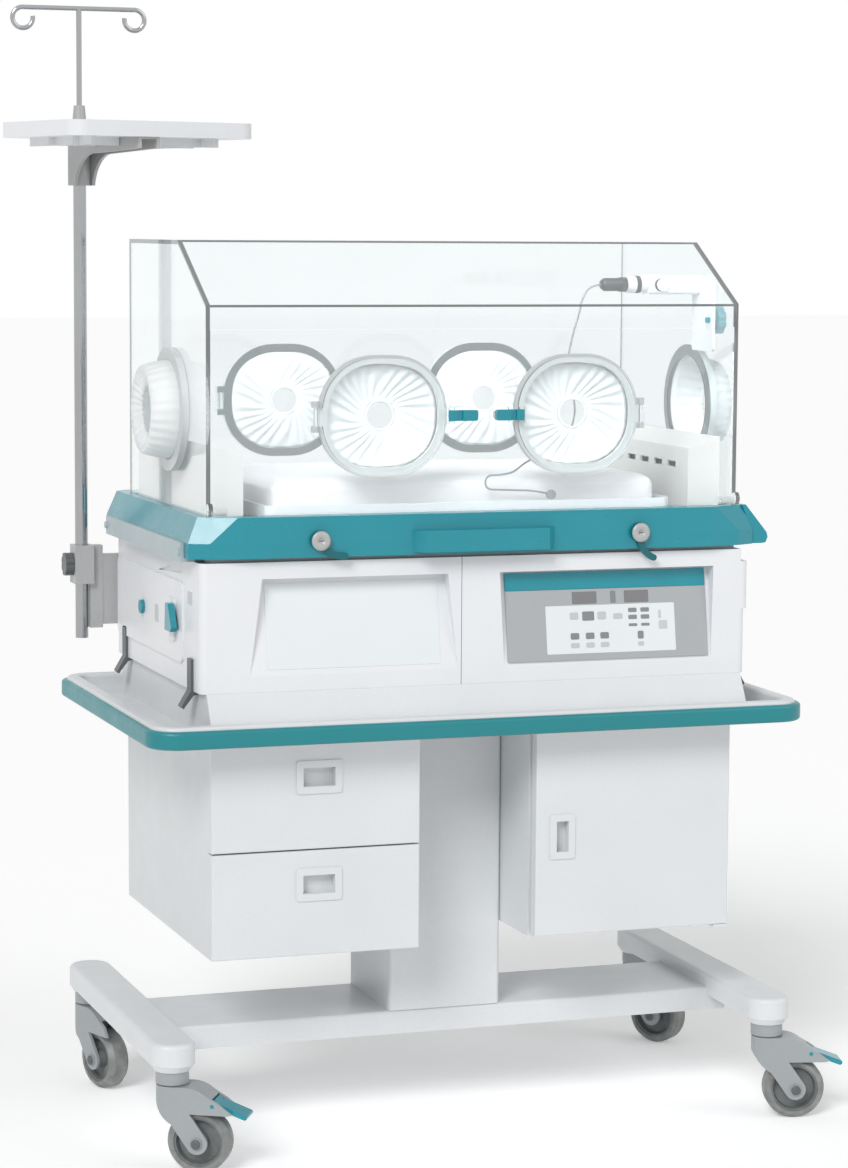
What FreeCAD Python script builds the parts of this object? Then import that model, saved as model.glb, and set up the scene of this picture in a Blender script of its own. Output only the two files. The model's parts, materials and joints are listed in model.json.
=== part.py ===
import FreeCAD, Part
import math
import os

V = FreeCAD.Vector
UP = V(0, 0, 1)
ALONG_X = V(1, 0, 0)
ALONG_Y = V(0, 1, 0)

# Infant incubator on a wheeled stand, in millimetres.
# The origin is on the floor under the middle of the stand. +X runs right along the front,
# -Y points to the person in front of it and +Z is up.

# Clearances
SEAT = 0.3
FIT = 0.05
PANEL_GAP = 2.0

# Casters
CASTER_X = 445.0
CASTER_Y = 244.0
CASTER_HEIGHT = 140.0
WHEEL_R = 44.0
WHEEL_WIDTH = 32.0
TREAD_DEPTH = 10.0
TRAIL = 40.0
AXLE_R = 4.5
AXLE_HEAD_R = 8.0
AXLE_HEAD_T = 3.0
STEM_R = 8.0
STEM_LENGTH = 14.0
HEAD_R = 23.0
HEAD_T = 17.0
HEAD_GROOVE = 2.0
CHEEK_T = 4.5
WHEEL_SIDE_GAP = 3.0
WHEEL_TOP_GAP = 4.0
CHEEK_END_R = 15.0
CHEEK_LEAN = 35.0
NOSE_DROP = 22.0
HORN_FOOT = 84.5
HORN_LENGTH = 83.0
PEDAL_WIDTH = 34.0
PEDAL_T = 7.0
PEDAL_X = 62.0
PEDAL_Z = 97.0
PEDAL_LENGTH = 49.0
PEDAL_FALL = 18.0
PEDAL_PIN_R = 3.0
PEDAL_BARREL_R = 6.5
CASTER_YAW = {"fl": -30.0, "fr": -15.0, "rl": -70.7, "rr": -53.1}

# Base frame and column
LEG_WIDTH = 62.0
LEG_BOSS = 9.0
LEG_HEIGHT = 31.0
LEG_TAPER = 6.0
LEG_EDGE_R = 7.0
BEAM_FRONT = -97.0
BEAM_DEPTH = 186.0
BEAM_HEIGHT = 34.0
BEAM_DROP = 14.0
BEAM_LAP = 30.0
BEAM_WALL = 4.0
COLUMN_WIDTH = 170.0
COLUMN_HEIGHT = 426.0
COLUMN_WALL = 3.0
COLUMN_EDGE_R = 6.0

# Deck with its rim, bumper and plinth
RIM_HALF_X = 475.0
RIM_FRONT = -284.0
RIM_REAR = 292.0
RIM_CORNER_R = 37.0
RIM_WIDTH = 20.0
RIM_HEIGHT = 30.0
DECK_T = 6.0
GRIP_WIDTH = 32.0
GRIP_FRONT = -90.0
GRIP_REAR = 175.0
BUMPER_T = 8.0
BUMPER_HEIGHT = 25.0
PLINTH_HALF_X = 395.0
PLINTH_HEIGHT = 61.0
PLINTH_SLOPE_FOOT = 20.0
SHEET_T = 3.0

# Cabinets
CABINET_WIDTH = 300.0
CABINET_HEIGHT = 304.0
CABINET_REAR = 244.0
CABINET_WALL = 10.0
FRONT_T = 18.0
FRONT_FACE = -231.0
DOOR_CLEAR = 4.0
DRAWER_SPLIT = 148.0
DRAWER_WALL = 4.0
DRAWER_SIDE_GAP = 4.0
UPPER_BOX_HEIGHT = 100.0
LOWER_BOX_HEIGHT = 96.0
RUNNER_HEIGHT = 8.0
RUNNER_WIDTH = 12.0
DRAWER_DEPTH = 430.0
PULL_WIDTH = 66.0
PULL_HEIGHT = 46.0
PULL_RIM = 8.0
PULL_DEPTH = 15.0
PULL_PROUD = 2.0
DOOR_PULL_WIDTH = 38.0
DOOR_PULL_HEIGHT = 64.0
DOOR_PULL_X = 128.0
DOOR_PULL_Z = 146.0
PIVOT_R = 3.0
PIVOT_INSET = 9.0
PIVOT_BRACKET_T = 3.7
PIVOT_LENGTH = 11.0

# Lower housing with its front covers
HOUSE_HALF_X = 403.0
HOUSE_FRONT = -237.0
HOUSE_REAR = 237.0
HOUSE_HEIGHT = 178.0
HOUSE_WALL = 4.0
HOUSE_CORNER_R = 10.0
COVER_DEPTH = 38.0
COVER_SEAM_X = -28.0
COVER_SEAM = 1.0
END_PAD_T = 4.5
END_PAD_LOW = 92.0
END_PAD_HIGH = 160.0
END_NECK = 8.0
RECESS_LOW = 22.0
RECESS_HIGH = 155.0
RECESS_DEPTH = 22.0
LABEL_TOP = (-316.0, -48.0)
LABEL_FOOT = (-333.0, -33.0)
PANEL_TOP = (28.0, 352.0)
PANEL_FOOT = (36.0, 350.0)
PANEL_T = 3.0
PANEL_MARGIN = 5.0
STRIP_HEIGHT = 25.0
KEYPAD_HALF_WIDTH = 98.0
KEYPAD_X = 198.0
KEYPAD_HEIGHT = 68.0
KEYPAD_LIFT = 14.0
MEMBRANE_T = 0.8
KEY_T = 0.8

# Left side fittings of the housing
SIDE_COVER_FRONT = -151.0
SIDE_COVER_REAR = 222.0
SIDE_COVER_LOW = 32.0
SIDE_COVER_HIGH = 144.0
SIDE_COVER_T = 3.0
BUTTON_Y = 66.0
BUTTON_Z = 87.0
BUTTON_R = 10.0
BUTTON_PROUD = 5.0
BUTTON_TRAVEL = 3.0
LEVER_Y = -112.0
LEVER_Z = 92.0
LEVER_PLATE_WIDTH = 38.0
LEVER_PLATE_HEIGHT = 60.0
LEVER_PLATE_T = 3.0
LEVER_PLATE_Y = -99.0
LEVER_PLATE_Z = 88.0
LEVER_HUB_R = 7.0
LEVER_T = 9.0
CLIP_WIDTH = 20.0
CLIP_Y = (-192.0, 180.0)
CLIP_RISE = 44.0
CLIP_T = 4.0
CLIP_FLARE = 13.0
CLIP_FALL = 20.0
SLOT_FRONT = -140.0
SLOT_REAR = -8.0
SLOT_Z = 148.0
SLOT_RISE = 18.0
SLOT_HEIGHT = 10.0

# Air unit inside the housing
FAN_X = 150.0
FAN_Y = 30.0
MOTOR_R = 32.0
MOTOR_HEIGHT = 52.0
SHAFT_R = 4.0
IMPELLER_R = 58.0
IMPELLER_HEIGHT = 26.0
BLADE_COUNT = 10
BLADE_T = 3.0
HEATER_R = 82.0
HEATER_WIRE_R = 5.0
TANK_LENGTH = 150.0
TANK_WIDTH = 190.0
TANK_HEIGHT = 88.0
TANK_WALL = 3.0
TANK_SETBACK = 44.0

# Compartment floor and trim frame
FLOOR_HALF_X = 392.0
FLOOR_FRONT = -229.0
FLOOR_REAR = 229.0
FLOOR_HEIGHT = 6.0
AIR_SLOT_X = 352.0
AIR_SLOT_WIDTH = 16.0
AIR_SLOT_HALF_LENGTH = 120.0
SIDE_RAIL_T = 5.0
SIDE_RAIL_HEIGHT = 27.0
RAIL_BOLT_R = 5.0
RAIL_BOLT_T = 3.0
SIDE_RAIL_FRONT = -205.0
SIDE_RAIL_REAR = 225.0
TRIM_HEIGHT = 56.0
TRIM_BAND = 21.0
TRIM_HALF_X = 417.0
TRIM_FRONT = -248.0
TRIM_REAR = 258.0
TRIM_FACE_HALF_X = 342.0
TRIM_KNEE_X = 390.0
TRIM_KNEE_BACK = 8.0
TRIM_CORNER_BACK = 22.0
TRIM_REAR_HALF_X = 385.0
TRIM_REAR_BACK = 14.0
TRIM_FACET_X = 345.0
TRIM_END_SLOPE = 15.0
TRIM_WALL = 4.0
TRIM_SEAM_X = 388.0
END_CAP_REACH = 26.0
END_CAP_BACK = 26.0
HOOD_SEAT = 8.0
PULL_BULGE_HALF_X = 91.0
PULL_BULGE_T = 18.0
PULL_BULGE_LOW = 4.0
PULL_BULGE_HEIGHT = 30.0
CATCH_X = (-238.0, 232.0)
CATCH_Z = 23.0
CATCH_R = 13.5
CATCH_T = 7.0
CATCH_REACH = 46.0
CATCH_WIDTH = 9.0
CATCH_TURN = {"left": 42.0, "right": -14.0}

# Clear hood
HOOD_HALF_X = 391.0
HOOD_FRONT = -223.0
HOOD_REAR = 203.0
HOOD_HEIGHT = 372.0
HOOD_FRONT_HEIGHT = 286.0
HOOD_SLOPE_TOP = -73.0
ACRYLIC = 6.0
DOOR_TOP = 251.0
DOOR_LIFT = 2.0
HINGE_R = 6.0
HINGE_PIN_R = 3.0
HINGE_UP = 7.0
HOOD_HINGE_Y = 216.0
HOOD_HINGE_X = 250.0
HOOD_HINGE_WIDTH = 30.0
DOOR_HINGE_OUT = 6.0
DOOR_HINGE_WIDTH = 20.0
DOOR_BARREL_R = 5.0
DOOR_PIN_R = 2.5
DOOR_EAR_R = 9.0
EAR_WIDTH = 12.0

# Hand ports
PORT_X = 142.0
REAR_PORT_X = 158.0
PORT_Z = 134.0
PORT_WIDTH = 160.0
PORT_HEIGHT = 143.0
PORT_R = 66.0
FRAME_WIDTH = 12.0
FRAME_T = 8.0
LID_OVERLAP = 8.0
LID_T = 4.0
LID_HINGE_R = 4.0
LID_PIN_R = 2.0
LID_BARREL = 24.0
LID_EAR = 9.0
CUFF_HOLE_R = 34.0
CUFF_DEPTH = 16.0
CATCH_TAB_LENGTH = 48.0
CATCH_TAB_HEIGHT = 15.0
CATCH_TAB_T = 8.0
CATCH_TAB_PIN_R = 1.5
CATCH_HUB_R = 4.4
RIGHT_CATCH_SHIFT = 11.0
END_PORT_Y = -52.0
END_PORT_Z = 137.0
END_PORT_R = 70.0
END_RING_R = 86.0
END_RING_T = 10.0
SLEEVE_OUT = 38.0
SLEEVE_RIM_R = 60.0
SLEEVE_T = 3.0

# Bed inside the hood
TRAY_HALF_X = 300.0
TRAY_FRONT = -200.0
TRAY_REAR = 182.0
TRAY_LIFT = 47.0
TRAY_RIM = 20.0
TRAY_WALL = 3.0
TRAY_RIB_T = 14.0
MATTRESS_GAP = 6.0
MATTRESS_T = 50.0
DUCT_INNER_X = 330.0
DUCT_OUTER_X = 379.0
DUCT_FRONT = -190.0
DUCT_REAR = 180.0
DUCT_HIGH = 152.0
DUCT_LOW = 136.0
DUCT_WALL = 3.0
DUCT_SLOTS = 6
DUCT_SLOT_START = 45.0
DUCT_SLOT_PITCH = 50.0
DUCT_SLOT_LENGTH = 30.0
DUCT_SLOT_Z = 106.0
DUCT_SLOT_HEIGHT = 8.0

# Air sensor, its knob and the skin probe
SENSOR_Y = -94.0
SENSOR_Z = 308.0
SENSOR_LENGTH = 84.0
SENSOR_SIZE = 28.0
SOCKET_R = 12.0
SOCKET_LENGTH = 31.0
PLUG_R = 9.0
PLUG_LENGTH = 38.0
SENSOR_KNOB_Y = -142.0
SENSOR_KNOB_Z = 261.0
SENSOR_KNOB_R = 20.0
SENSOR_KNOB_T = 12.0
SENSOR_STEM_R = 4.0
SENSOR_PLATE_T = 4.0
CABLE_R = 1.4
PROBE_R = 7.0
PROBE_T = 3.0
CABLE_ROUTE = [
    V(231.7, -94, 1201), V(214, -94, 1199), V(203, -95, 1182), V(196, -96, 1158),
    V(186, -98, 1128), V(178, -101, 1094), V(182, -104, 1060), V(190, -107, 1028),
    V(182, -112, 998), V(160, -124, 975), V(132, -144, 966), V(104, -164, 961),
    V(82, -182, 955), V(62, -196, 944), V(42, -196.9, 940.6), V(19.5, -196.5, 940.4),
    V(19.5, -196.5, 920.6), V(42, -196.8, 920), V(66, -196.5, 918.6), V(90, -196.8, 918), V(111, -196.5, 913.5)]

# Instrument pole on the rear left corner
POLE_X = -455.0
POLE_Y = 245.0
POLE_R = 9.5
POLE_WALL = 1.5
POLE_FOOT = 675.0
POLE_SEAT = 38.0
CLAMP_Z = 785.0
CLAMP_HEIGHT = 57.0
CLAMP_WALL = 8.0
RAIL_WIDTH = 19.0
RAIL_DEPTH = 18.0
RAIL_DROP = 95.0
RAIL_HEIGHT = 123.0
BRACKET_T = 8.0
BRACKET_REACH = 60.0
BRACKET_HEIGHT = 105.0
CLAMP_KNOB_R = 17.0
CLAMP_KNOB_T = 13.0
CLAMP_SCREW_R = 4.0
LOBES = 8

# Instrument tray and drip rod on top of the pole
ARM_TOP = 1409.0
ARM_HEIGHT = 67.0
ARM_LENGTH = 205.0
ARM_WIDTH = 34.0
ARM_CHEEK = 5.0
ARM_WEB = 3.0
ARM_NECK = 62.0
ARM_TIP_DEPTH = 22.0
SHELF_TURN = 15.6
SHELF_WIDTH = 300.0
SHELF_DEPTH = 230.0
SHELF_POLE_A = 124.0
SHELF_POLE_B = 211.0
SHELF_RIM = 22.0
SHELF_WALL = 3.0
SHELF_FLOOR = 4.0
SHELF_CORNER_R = 24.0
SHELF_RIB_HEIGHT = 12.0
SHELF_RIB_T = 3.0
SHELF_RIB_Y = (60.0, 130.0)
SHELF_RIB_X = (40.0, 240.0)
SHELF_RIB_END = 30.0
COLLAR_R = 13.0
COLLAR_TOP_R = 8.0
COLLAR_HEIGHT = 49.0
ROD_R = 4.0
ROD_TOP = 1598.0
ROD_SPIGOT = 120.0
HOOK_HALF_SPAN = 83.0
HOOK_R = 15.0
HOOK_WIRE_R = 3.5
HOOK_TURN = 280.0

# Levels that follow from the sizes above
LEG_FOOT = CASTER_HEIGHT + LEG_BOSS
LEG_TOP = LEG_FOOT + LEG_HEIGHT
BEAM_Z = CASTER_HEIGHT - BEAM_DROP
DECK_Z = BEAM_Z + BEAM_HEIGHT + COLUMN_HEIGHT
DECK_TOP = DECK_Z + DECK_T
HOUSE_Z = DECK_TOP + PLINTH_HEIGHT
FLOOR_Z = HOUSE_Z + HOUSE_HEIGHT
TRIM_Z = FLOOR_Z + FLOOR_HEIGHT
HOOD_Z = TRIM_Z + TRIM_HEIGHT
ARM_FOOT = ARM_TOP - ARM_HEIGHT
POLE_LENGTH = ARM_FOOT + POLE_SEAT - POLE_FOOT
RAIL_FOOT = CLAMP_Z - RAIL_DROP
COVER_BACK = HOUSE_FRONT + COVER_DEPTH
FORK_HALF = WHEEL_WIDTH / 2 + WHEEL_SIDE_GAP + CHEEK_T
CHEEK_INNER = WHEEL_WIDTH / 2 + WHEEL_SIDE_GAP
DOOR_Y = HOOD_FRONT + ACRYLIC
PORT_LEVEL = HOOD_Z + PORT_Z


def box(x0, x1, y0, y1, z0, z1):
    return Part.makeBox(x1 - x0, y1 - y0, z1 - z0, V(x0, y0, z0))


def rod(start, axis, radius, length):
    return Part.makeCylinder(radius, length, start, axis)


def polygon(points):
    return Part.Face(Part.makePolygon(points + [points[0]]))


def rounded_rect(x0, x1, y0, y1, radius, z=0.0):
    """A flat rectangle with round corners, on the level z."""
    reach = radius * (1 - math.sqrt(0.5))
    lines = [
        Part.makeLine(V(x0 + radius, y0, z), V(x1 - radius, y0, z)),
        Part.Arc(V(x1 - radius, y0, z), V(x1 - reach, y0 + reach, z), V(x1, y0 + radius, z)).toShape(),
        Part.makeLine(V(x1, y0 + radius, z), V(x1, y1 - radius, z)),
        Part.Arc(V(x1, y1 - radius, z), V(x1 - reach, y1 - reach, z), V(x1 - radius, y1, z)).toShape(),
        Part.makeLine(V(x1 - radius, y1, z), V(x0 + radius, y1, z)),
        Part.Arc(V(x0 + radius, y1, z), V(x0 + reach, y1 - reach, z), V(x0, y1 - radius, z)).toShape(),
        Part.makeLine(V(x0, y1 - radius, z), V(x0, y0 + radius, z)),
        Part.Arc(V(x0, y0 + radius, z), V(x0 + reach, y0 + reach, z), V(x0 + radius, y0, z)).toShape()]
    return Part.Face(Part.Wire(lines))


def slab(x0, x1, y0, y1, z0, z1, radius):
    """A block with round upright edges."""
    return rounded_rect(x0, x1, y0, y1, radius, z0).extrude(V(0, 0, z1 - z0))


def facing_front(shape, y_back):
    """Stand a shape drawn as (x, z) up, with what was extruded upwards now facing the front."""
    turned = shape.copy()
    turned.rotate(V(0, 0, 0), ALONG_X, 90)
    turned.translate(V(0, y_back, 0))
    return turned


def facing_side(shape, x):
    """Stand a shape drawn as (y, z) up, with what was extruded upwards now facing +X."""
    turned = shape.copy()
    turned.rotate(V(0, 0, 0), V(1, 1, 1), 120)
    turned.translate(V(x, 0, 0))
    return turned


def mirrored(shape):
    return shape.mirror(V(0, 0, 0), ALONG_X)


def fuse(shapes):
    joined = shapes[0]
    for shape in shapes[1:]:
        joined = joined.fuse(shape)
    return joined.removeSplitter()


def round_edges(shape, radius, wanted):
    """Fillet the edges for which wanted(edge) is true."""
    return shape.makeFillet(radius, [edge for edge in shape.Edges if wanted(edge)])


def level_edges(shape, z):
    """True for an edge that lies on the level z."""
    return lambda edge: abs(edge.BoundBox.ZMin - z) < 0.01 and abs(edge.BoundBox.ZMax - z) < 0.01


def revolved(points, axis):
    """Turn an outline of (radius, station) points about an axis through the origin."""
    face = polygon([V(radius, 0, station) for radius, station in points])
    ring = face.revolve(V(0, 0, 0), UP, 360)
    if axis is ALONG_Y:
        ring.rotate(V(0, 0, 0), ALONG_X, -90)
    return ring


# Casters


def placed_caster(shape, corner):
    """Turn a caster piece to its yaw and move it under its corner of the frame."""
    x = CASTER_X if corner[1] == "r" else -CASTER_X
    y = -CASTER_Y if corner[0] == "f" else CASTER_Y
    turned = shape.copy()
    turned.rotate(V(0, 0, 0), UP, CASTER_YAW[corner])
    turned.translate(V(x, y, 0))
    return turned


def horn_outline(with_pedal):
    """The fork seen from the side: nose, slanted cheek round the axle, and the horn over the wheel."""
    top = CASTER_HEIGHT - SEAT - HEAD_T - HEAD_GROOVE
    nose = -HEAD_R + 2
    lean = math.radians(CHEEK_LEAN)
    along = V(-math.sin(lean), 0, math.cos(lean))
    across = V(math.cos(lean), 0, math.sin(lean))
    axle = V(TRAIL, 0, WHEEL_R)
    front_foot = axle - across * CHEEK_END_R
    rear_foot = axle + across * CHEEK_END_R
    front_knee = front_foot + along * (top - NOSE_DROP - 22 - front_foot.z)
    rear_knee = rear_foot + along * ((HORN_FOOT - rear_foot.z) / along.z)
    crown = V(PEDAL_X - 8, 0, PEDAL_Z + 13)
    if with_pedal:
        rear = [V(PEDAL_X + 6, 0, PEDAL_Z + 5), V(HORN_LENGTH + 7, 0, HORN_FOOT + 2), V(HORN_LENGTH, 0, HORN_FOOT)]
    else:
        rear = [V(PEDAL_X + 10, 0, PEDAL_Z + 2), V(HORN_LENGTH - 3, 0, HORN_FOOT)]
    edges = [
        Part.makeLine(V(nose, 0, top), V(nose, 0, top - NOSE_DROP)),
        Part.Arc(V(nose, 0, top - NOSE_DROP), V(nose + 6, 0, top - NOSE_DROP - 12), front_knee).toShape(),
        Part.makeLine(front_knee, front_foot),
        Part.Arc(front_foot, axle - along * CHEEK_END_R, rear_foot).toShape(),
        Part.makeLine(rear_foot, rear_knee)]
    for start, end in zip([rear_knee] + rear[::-1], rear[::-1] + [crown]):
        edges.append(Part.makeLine(start, end))
    shoulder = V(HEAD_R - 4, 0, top)
    edges.append(Part.Arc(crown, (crown + shoulder) * 0.5 + V(3, 0, 3), shoulder).toShape())
    edges.append(Part.makeLine(shoulder, V(nose, 0, top)))
    return Part.Wire(edges)


def horn_hollow():
    """The space inside the horn over the wheel, open below and behind."""
    top = CASTER_HEIGHT - SEAT - HEAD_T - HEAD_GROOVE
    inside = polygon([V(STEM_R + 8, 0, HORN_FOOT - 10), V(STEM_R + 8, 0, top - 12), V(PEDAL_X - 12, 0, PEDAL_Z + 9),
                      V(PEDAL_X + 4, 0, PEDAL_Z + 9), V(HORN_LENGTH + 10, 0, PEDAL_Z - 3),
                      V(HORN_LENGTH + 10, 0, HORN_FOOT - 10)])
    inside = inside.extrude(V(0, 2 * CHEEK_INNER, 0))
    inside.translate(V(0, -CHEEK_INNER, 0))
    well = rod(V(TRAIL, -CHEEK_INNER, WHEEL_R), ALONG_Y, WHEEL_R + WHEEL_TOP_GAP, 2 * CHEEK_INNER)
    return inside.fuse(well)


def caster_fork(with_pedal):
    """The fork with its horn, under a round swivel head, and the axle."""
    head_top = CASTER_HEIGHT - SEAT
    head_foot = head_top - HEAD_T
    axle = V(TRAIL, 0, WHEEL_R)
    body = Part.Face(horn_outline(with_pedal)).extrude(V(0, 2 * FORK_HALF, 0))
    body.translate(V(0, -FORK_HALF, 0))
    body = body.common(slab(-HEAD_R + 1, 2 * HORN_LENGTH, -FORK_HALF, FORK_HALF, 0, CASTER_HEIGHT, FORK_HALF - 1))
    body = body.cut(horn_hollow())
    body = fuse([body, rod(V(0, 0, head_foot), UP, HEAD_R, HEAD_T),
                 rod(V(0, 0, head_foot - HEAD_GROOVE - 1), UP, HEAD_R - 3, HEAD_GROOVE + 2)])
    body = body.cut(rod(V(0, 0, head_top - STEM_LENGTH - SEAT), UP, STEM_R + FIT, STEM_LENGTH + 2))
    body = body.cut(rod(axle - V(0, FORK_HALF + 1, 0), ALONG_Y, AXLE_R + FIT, 2 * FORK_HALF + 2))
    if with_pedal:
        body = body.cut(rod(pedal_pivot() - V(0, FORK_HALF, 0), ALONG_Y, PEDAL_PIN_R + FIT, 2 * FORK_HALF))
    return Part.makeCompound([body, caster_axle(axle)])


def caster_axle(axle):
    """The axle with its two flat heads, one against each cheek."""
    shaft = rod(axle - V(0, FORK_HALF, 0), ALONG_Y, AXLE_R, 2 * FORK_HALF)
    near = rod(axle - V(0, FORK_HALF + AXLE_HEAD_T, 0), ALONG_Y, AXLE_HEAD_R, AXLE_HEAD_T)
    far = rod(axle + V(0, FORK_HALF, 0), ALONG_Y, AXLE_HEAD_R, AXLE_HEAD_T)
    return fuse([shaft, near, far])


def pedal_pivot():
    return V(PEDAL_X, 0, PEDAL_Z)


def brake_pedal():
    """The brake lever: a pivot barrel in the horn and a plate that falls to a rounded tip."""
    pivot = pedal_pivot()
    root = pivot + V(-4, 0, PEDAL_BARREL_R)
    tip = root + V(PEDAL_LENGTH, 0, -PEDAL_FALL)
    fall = math.atan2(PEDAL_FALL, PEDAL_LENGTH)
    along = V(math.cos(fall), 0, -math.sin(fall))
    down = V(-math.sin(fall), 0, -math.cos(fall)) * PEDAL_T
    side = Part.Wire([
        Part.makeLine(root, tip),
        Part.Arc(tip, tip + along * (PEDAL_T / 2) + down * 0.5, tip + down).toShape(),
        Part.makeLine(tip + down, tip + down - along * 22),
        Part.makeLine(tip + down - along * 22, root + down),
        Part.makeLine(root + down, root)])
    blade = Part.Face(side).extrude(V(0, PEDAL_WIDTH, 0))
    blade.translate(V(0, -PEDAL_WIDTH / 2, 0))
    barrel = rod(pivot - V(0, PEDAL_WIDTH / 2, 0), ALONG_Y, PEDAL_BARREL_R, PEDAL_WIDTH)
    pin = rod(pivot - V(0, FORK_HALF, 0), ALONG_Y, PEDAL_PIN_R, 2 * FORK_HALF)
    return fuse([blade, barrel, pin])


def caster_wheel():
    """A moulded hub with a recessed web, and its rubber tyre."""
    half = WHEEL_WIDTH / 2
    rim = WHEEL_R - TREAD_DEPTH
    boss = CHEEK_INNER - SEAT
    hub = revolved([
        (AXLE_R + FIT, -boss), (12, -boss), (14, -5), (rim - 5, -5), (rim - 3, -half + 2), (rim, -half + 2),
        (rim, half - 2), (rim - 3, half - 2), (rim - 5, 5), (14, 5), (12, boss), (AXLE_R + FIT, boss)], ALONG_Y)
    tyre = revolved([
        (rim + FIT, -half), (WHEEL_R - 5, -half), (WHEEL_R, -half + 6), (WHEEL_R, half - 6),
        (WHEEL_R - 5, half), (rim + FIT, half)], ALONG_Y)
    pair = Part.makeCompound([hub, tyre])
    pair.translate(V(TRAIL, 0, WHEEL_R))
    return pair


# Stand


def stand_leg(side):
    """A leg with round ends over its two casters, and the casters' stems below it."""
    half_width = LEG_WIDTH / 2
    end = CASTER_Y + half_width
    x = side * CASTER_X
    leg = slab(x - half_width, x + half_width, -end, end, LEG_FOOT, LEG_TOP, half_width - 0.5)
    leg = round_edges(leg, LEG_EDGE_R, level_edges(leg, LEG_TOP))
    for y in (-CASTER_Y, CASTER_Y):
        leg = leg.fuse(Part.makeCone(half_width - LEG_TAPER, half_width - 0.5, LEG_BOSS, V(x, y, CASTER_HEIGHT), UP))
        leg = leg.fuse(rod(V(x, y, CASTER_HEIGHT - STEM_LENGTH), UP, STEM_R, STEM_LENGTH + 2))
    return leg.removeSplitter()


def cross_beam():
    """The box beam between the legs, with a tongue at each end that laps under a leg."""
    inner = CASTER_X - LEG_WIDTH / 2
    rear = BEAM_FRONT + BEAM_DEPTH
    top = BEAM_Z + BEAM_HEIGHT
    beam = box(-inner, inner, BEAM_FRONT, rear, BEAM_Z, top)
    beam = round_edges(beam, 5.0, lambda e: abs(e.BoundBox.XLength - 2 * inner) < 1 and e.BoundBox.ZMin > top - 1)
    beam = beam.fuse(box(-inner - BEAM_LAP, inner + BEAM_LAP, BEAM_FRONT, rear, BEAM_Z, LEG_FOOT)).removeSplitter()
    hollow = box(-inner, inner, BEAM_FRONT + BEAM_WALL, rear - BEAM_WALL, BEAM_Z + BEAM_WALL, top - BEAM_WALL)
    return beam.cut(hollow)


def base_frame():
    return Part.makeCompound([stand_leg(-1), stand_leg(1), cross_beam()])


def column():
    rear = BEAM_FRONT + BEAM_DEPTH
    half = COLUMN_WIDTH / 2
    foot = BEAM_Z + BEAM_HEIGHT
    tube = slab(-half, half, BEAM_FRONT, rear, foot, DECK_Z, COLUMN_EDGE_R)
    wall = COLUMN_WALL
    return tube.cut(slab(-half + wall, half - wall, BEAM_FRONT + wall, rear - wall, foot, DECK_Z, wall))


def deck():
    """The tray under the housing: a floor, an upright rim all round and a hand grip at each end."""
    floor = slab(-RIM_HALF_X, RIM_HALF_X, RIM_FRONT, RIM_REAR, DECK_Z, DECK_TOP, RIM_CORNER_R)
    rim = slab(-RIM_HALF_X, RIM_HALF_X, RIM_FRONT, RIM_REAR, DECK_Z, DECK_Z + RIM_HEIGHT, RIM_CORNER_R)
    inner = RIM_HALF_X - RIM_WIDTH
    rim = rim.cut(slab(-inner, inner, RIM_FRONT + RIM_WIDTH, RIM_REAR - RIM_WIDTH, DECK_Z,
                       DECK_Z + RIM_HEIGHT, RIM_CORNER_R - RIM_WIDTH))
    rim = round_edges(rim, 5.0, level_edges(rim, DECK_Z + RIM_HEIGHT))
    tray = fuse([floor, rim])
    grip = slab(inner - GRIP_WIDTH, inner, GRIP_FRONT, GRIP_REAR, DECK_Z - 1, DECK_TOP + 1, 12.0)
    return tray.cut(grip).cut(mirrored(grip))


def bumper_strip():
    strip = slab(-RIM_HALF_X - BUMPER_T, RIM_HALF_X + BUMPER_T, RIM_FRONT - BUMPER_T, RIM_REAR + BUMPER_T,
                 DECK_Z, DECK_Z + BUMPER_HEIGHT, RIM_CORNER_R + BUMPER_T)
    strip = round_edges(strip, 5.0, lambda e: True if abs(e.BoundBox.ZLength) < 0.01 else False)
    return strip.cut(slab(-RIM_HALF_X, RIM_HALF_X, RIM_FRONT, RIM_REAR, DECK_Z - 1,
                          DECK_Z + BUMPER_HEIGHT + 1, RIM_CORNER_R))


def plinth_outline(inset):
    front = RIM_FRONT + RIM_WIDTH + SEAT
    top = HOUSE_Z - inset
    foot = DECK_TOP - (1 if inset else 0)
    knee = DECK_TOP + PLINTH_SLOPE_FOOT
    edge = HOUSE_FRONT - 3
    return polygon([
        V(edge + inset, top, 0), V(front + inset, knee, 0), V(front + inset, foot, 0),
        V(HOUSE_REAR + 3 - inset, foot, 0), V(HOUSE_REAR + 3 - inset, top, 0)])


def plinth():
    """The folded sheet cover between the deck and the housing, with its sloped front."""
    outer = plinth_outline(0).extrude(V(0, 0, 2 * PLINTH_HALF_X))
    inner = plinth_outline(SHEET_T).extrude(V(0, 0, 2 * (PLINTH_HALF_X - SHEET_T)))
    return facing_side(outer, -PLINTH_HALF_X).cut(facing_side(inner, -PLINTH_HALF_X + SHEET_T))


# Cabinets


def carcass(x0, front):
    """An open-fronted cabinet that hangs under the deck."""
    x1 = x0 + CABINET_WIDTH
    foot = DECK_Z - CABINET_HEIGHT
    wall = CABINET_WALL
    shell = box(x0, x1, front, CABINET_REAR, foot, DECK_Z)
    return shell.cut(box(x0 + wall, x1 - wall, front - 1, CABINET_REAR - wall, foot + wall, DECK_Z - wall))


def left_cabinet_x():
    return -COLUMN_WIDTH / 2 - SEAT - CABINET_WIDTH


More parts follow.
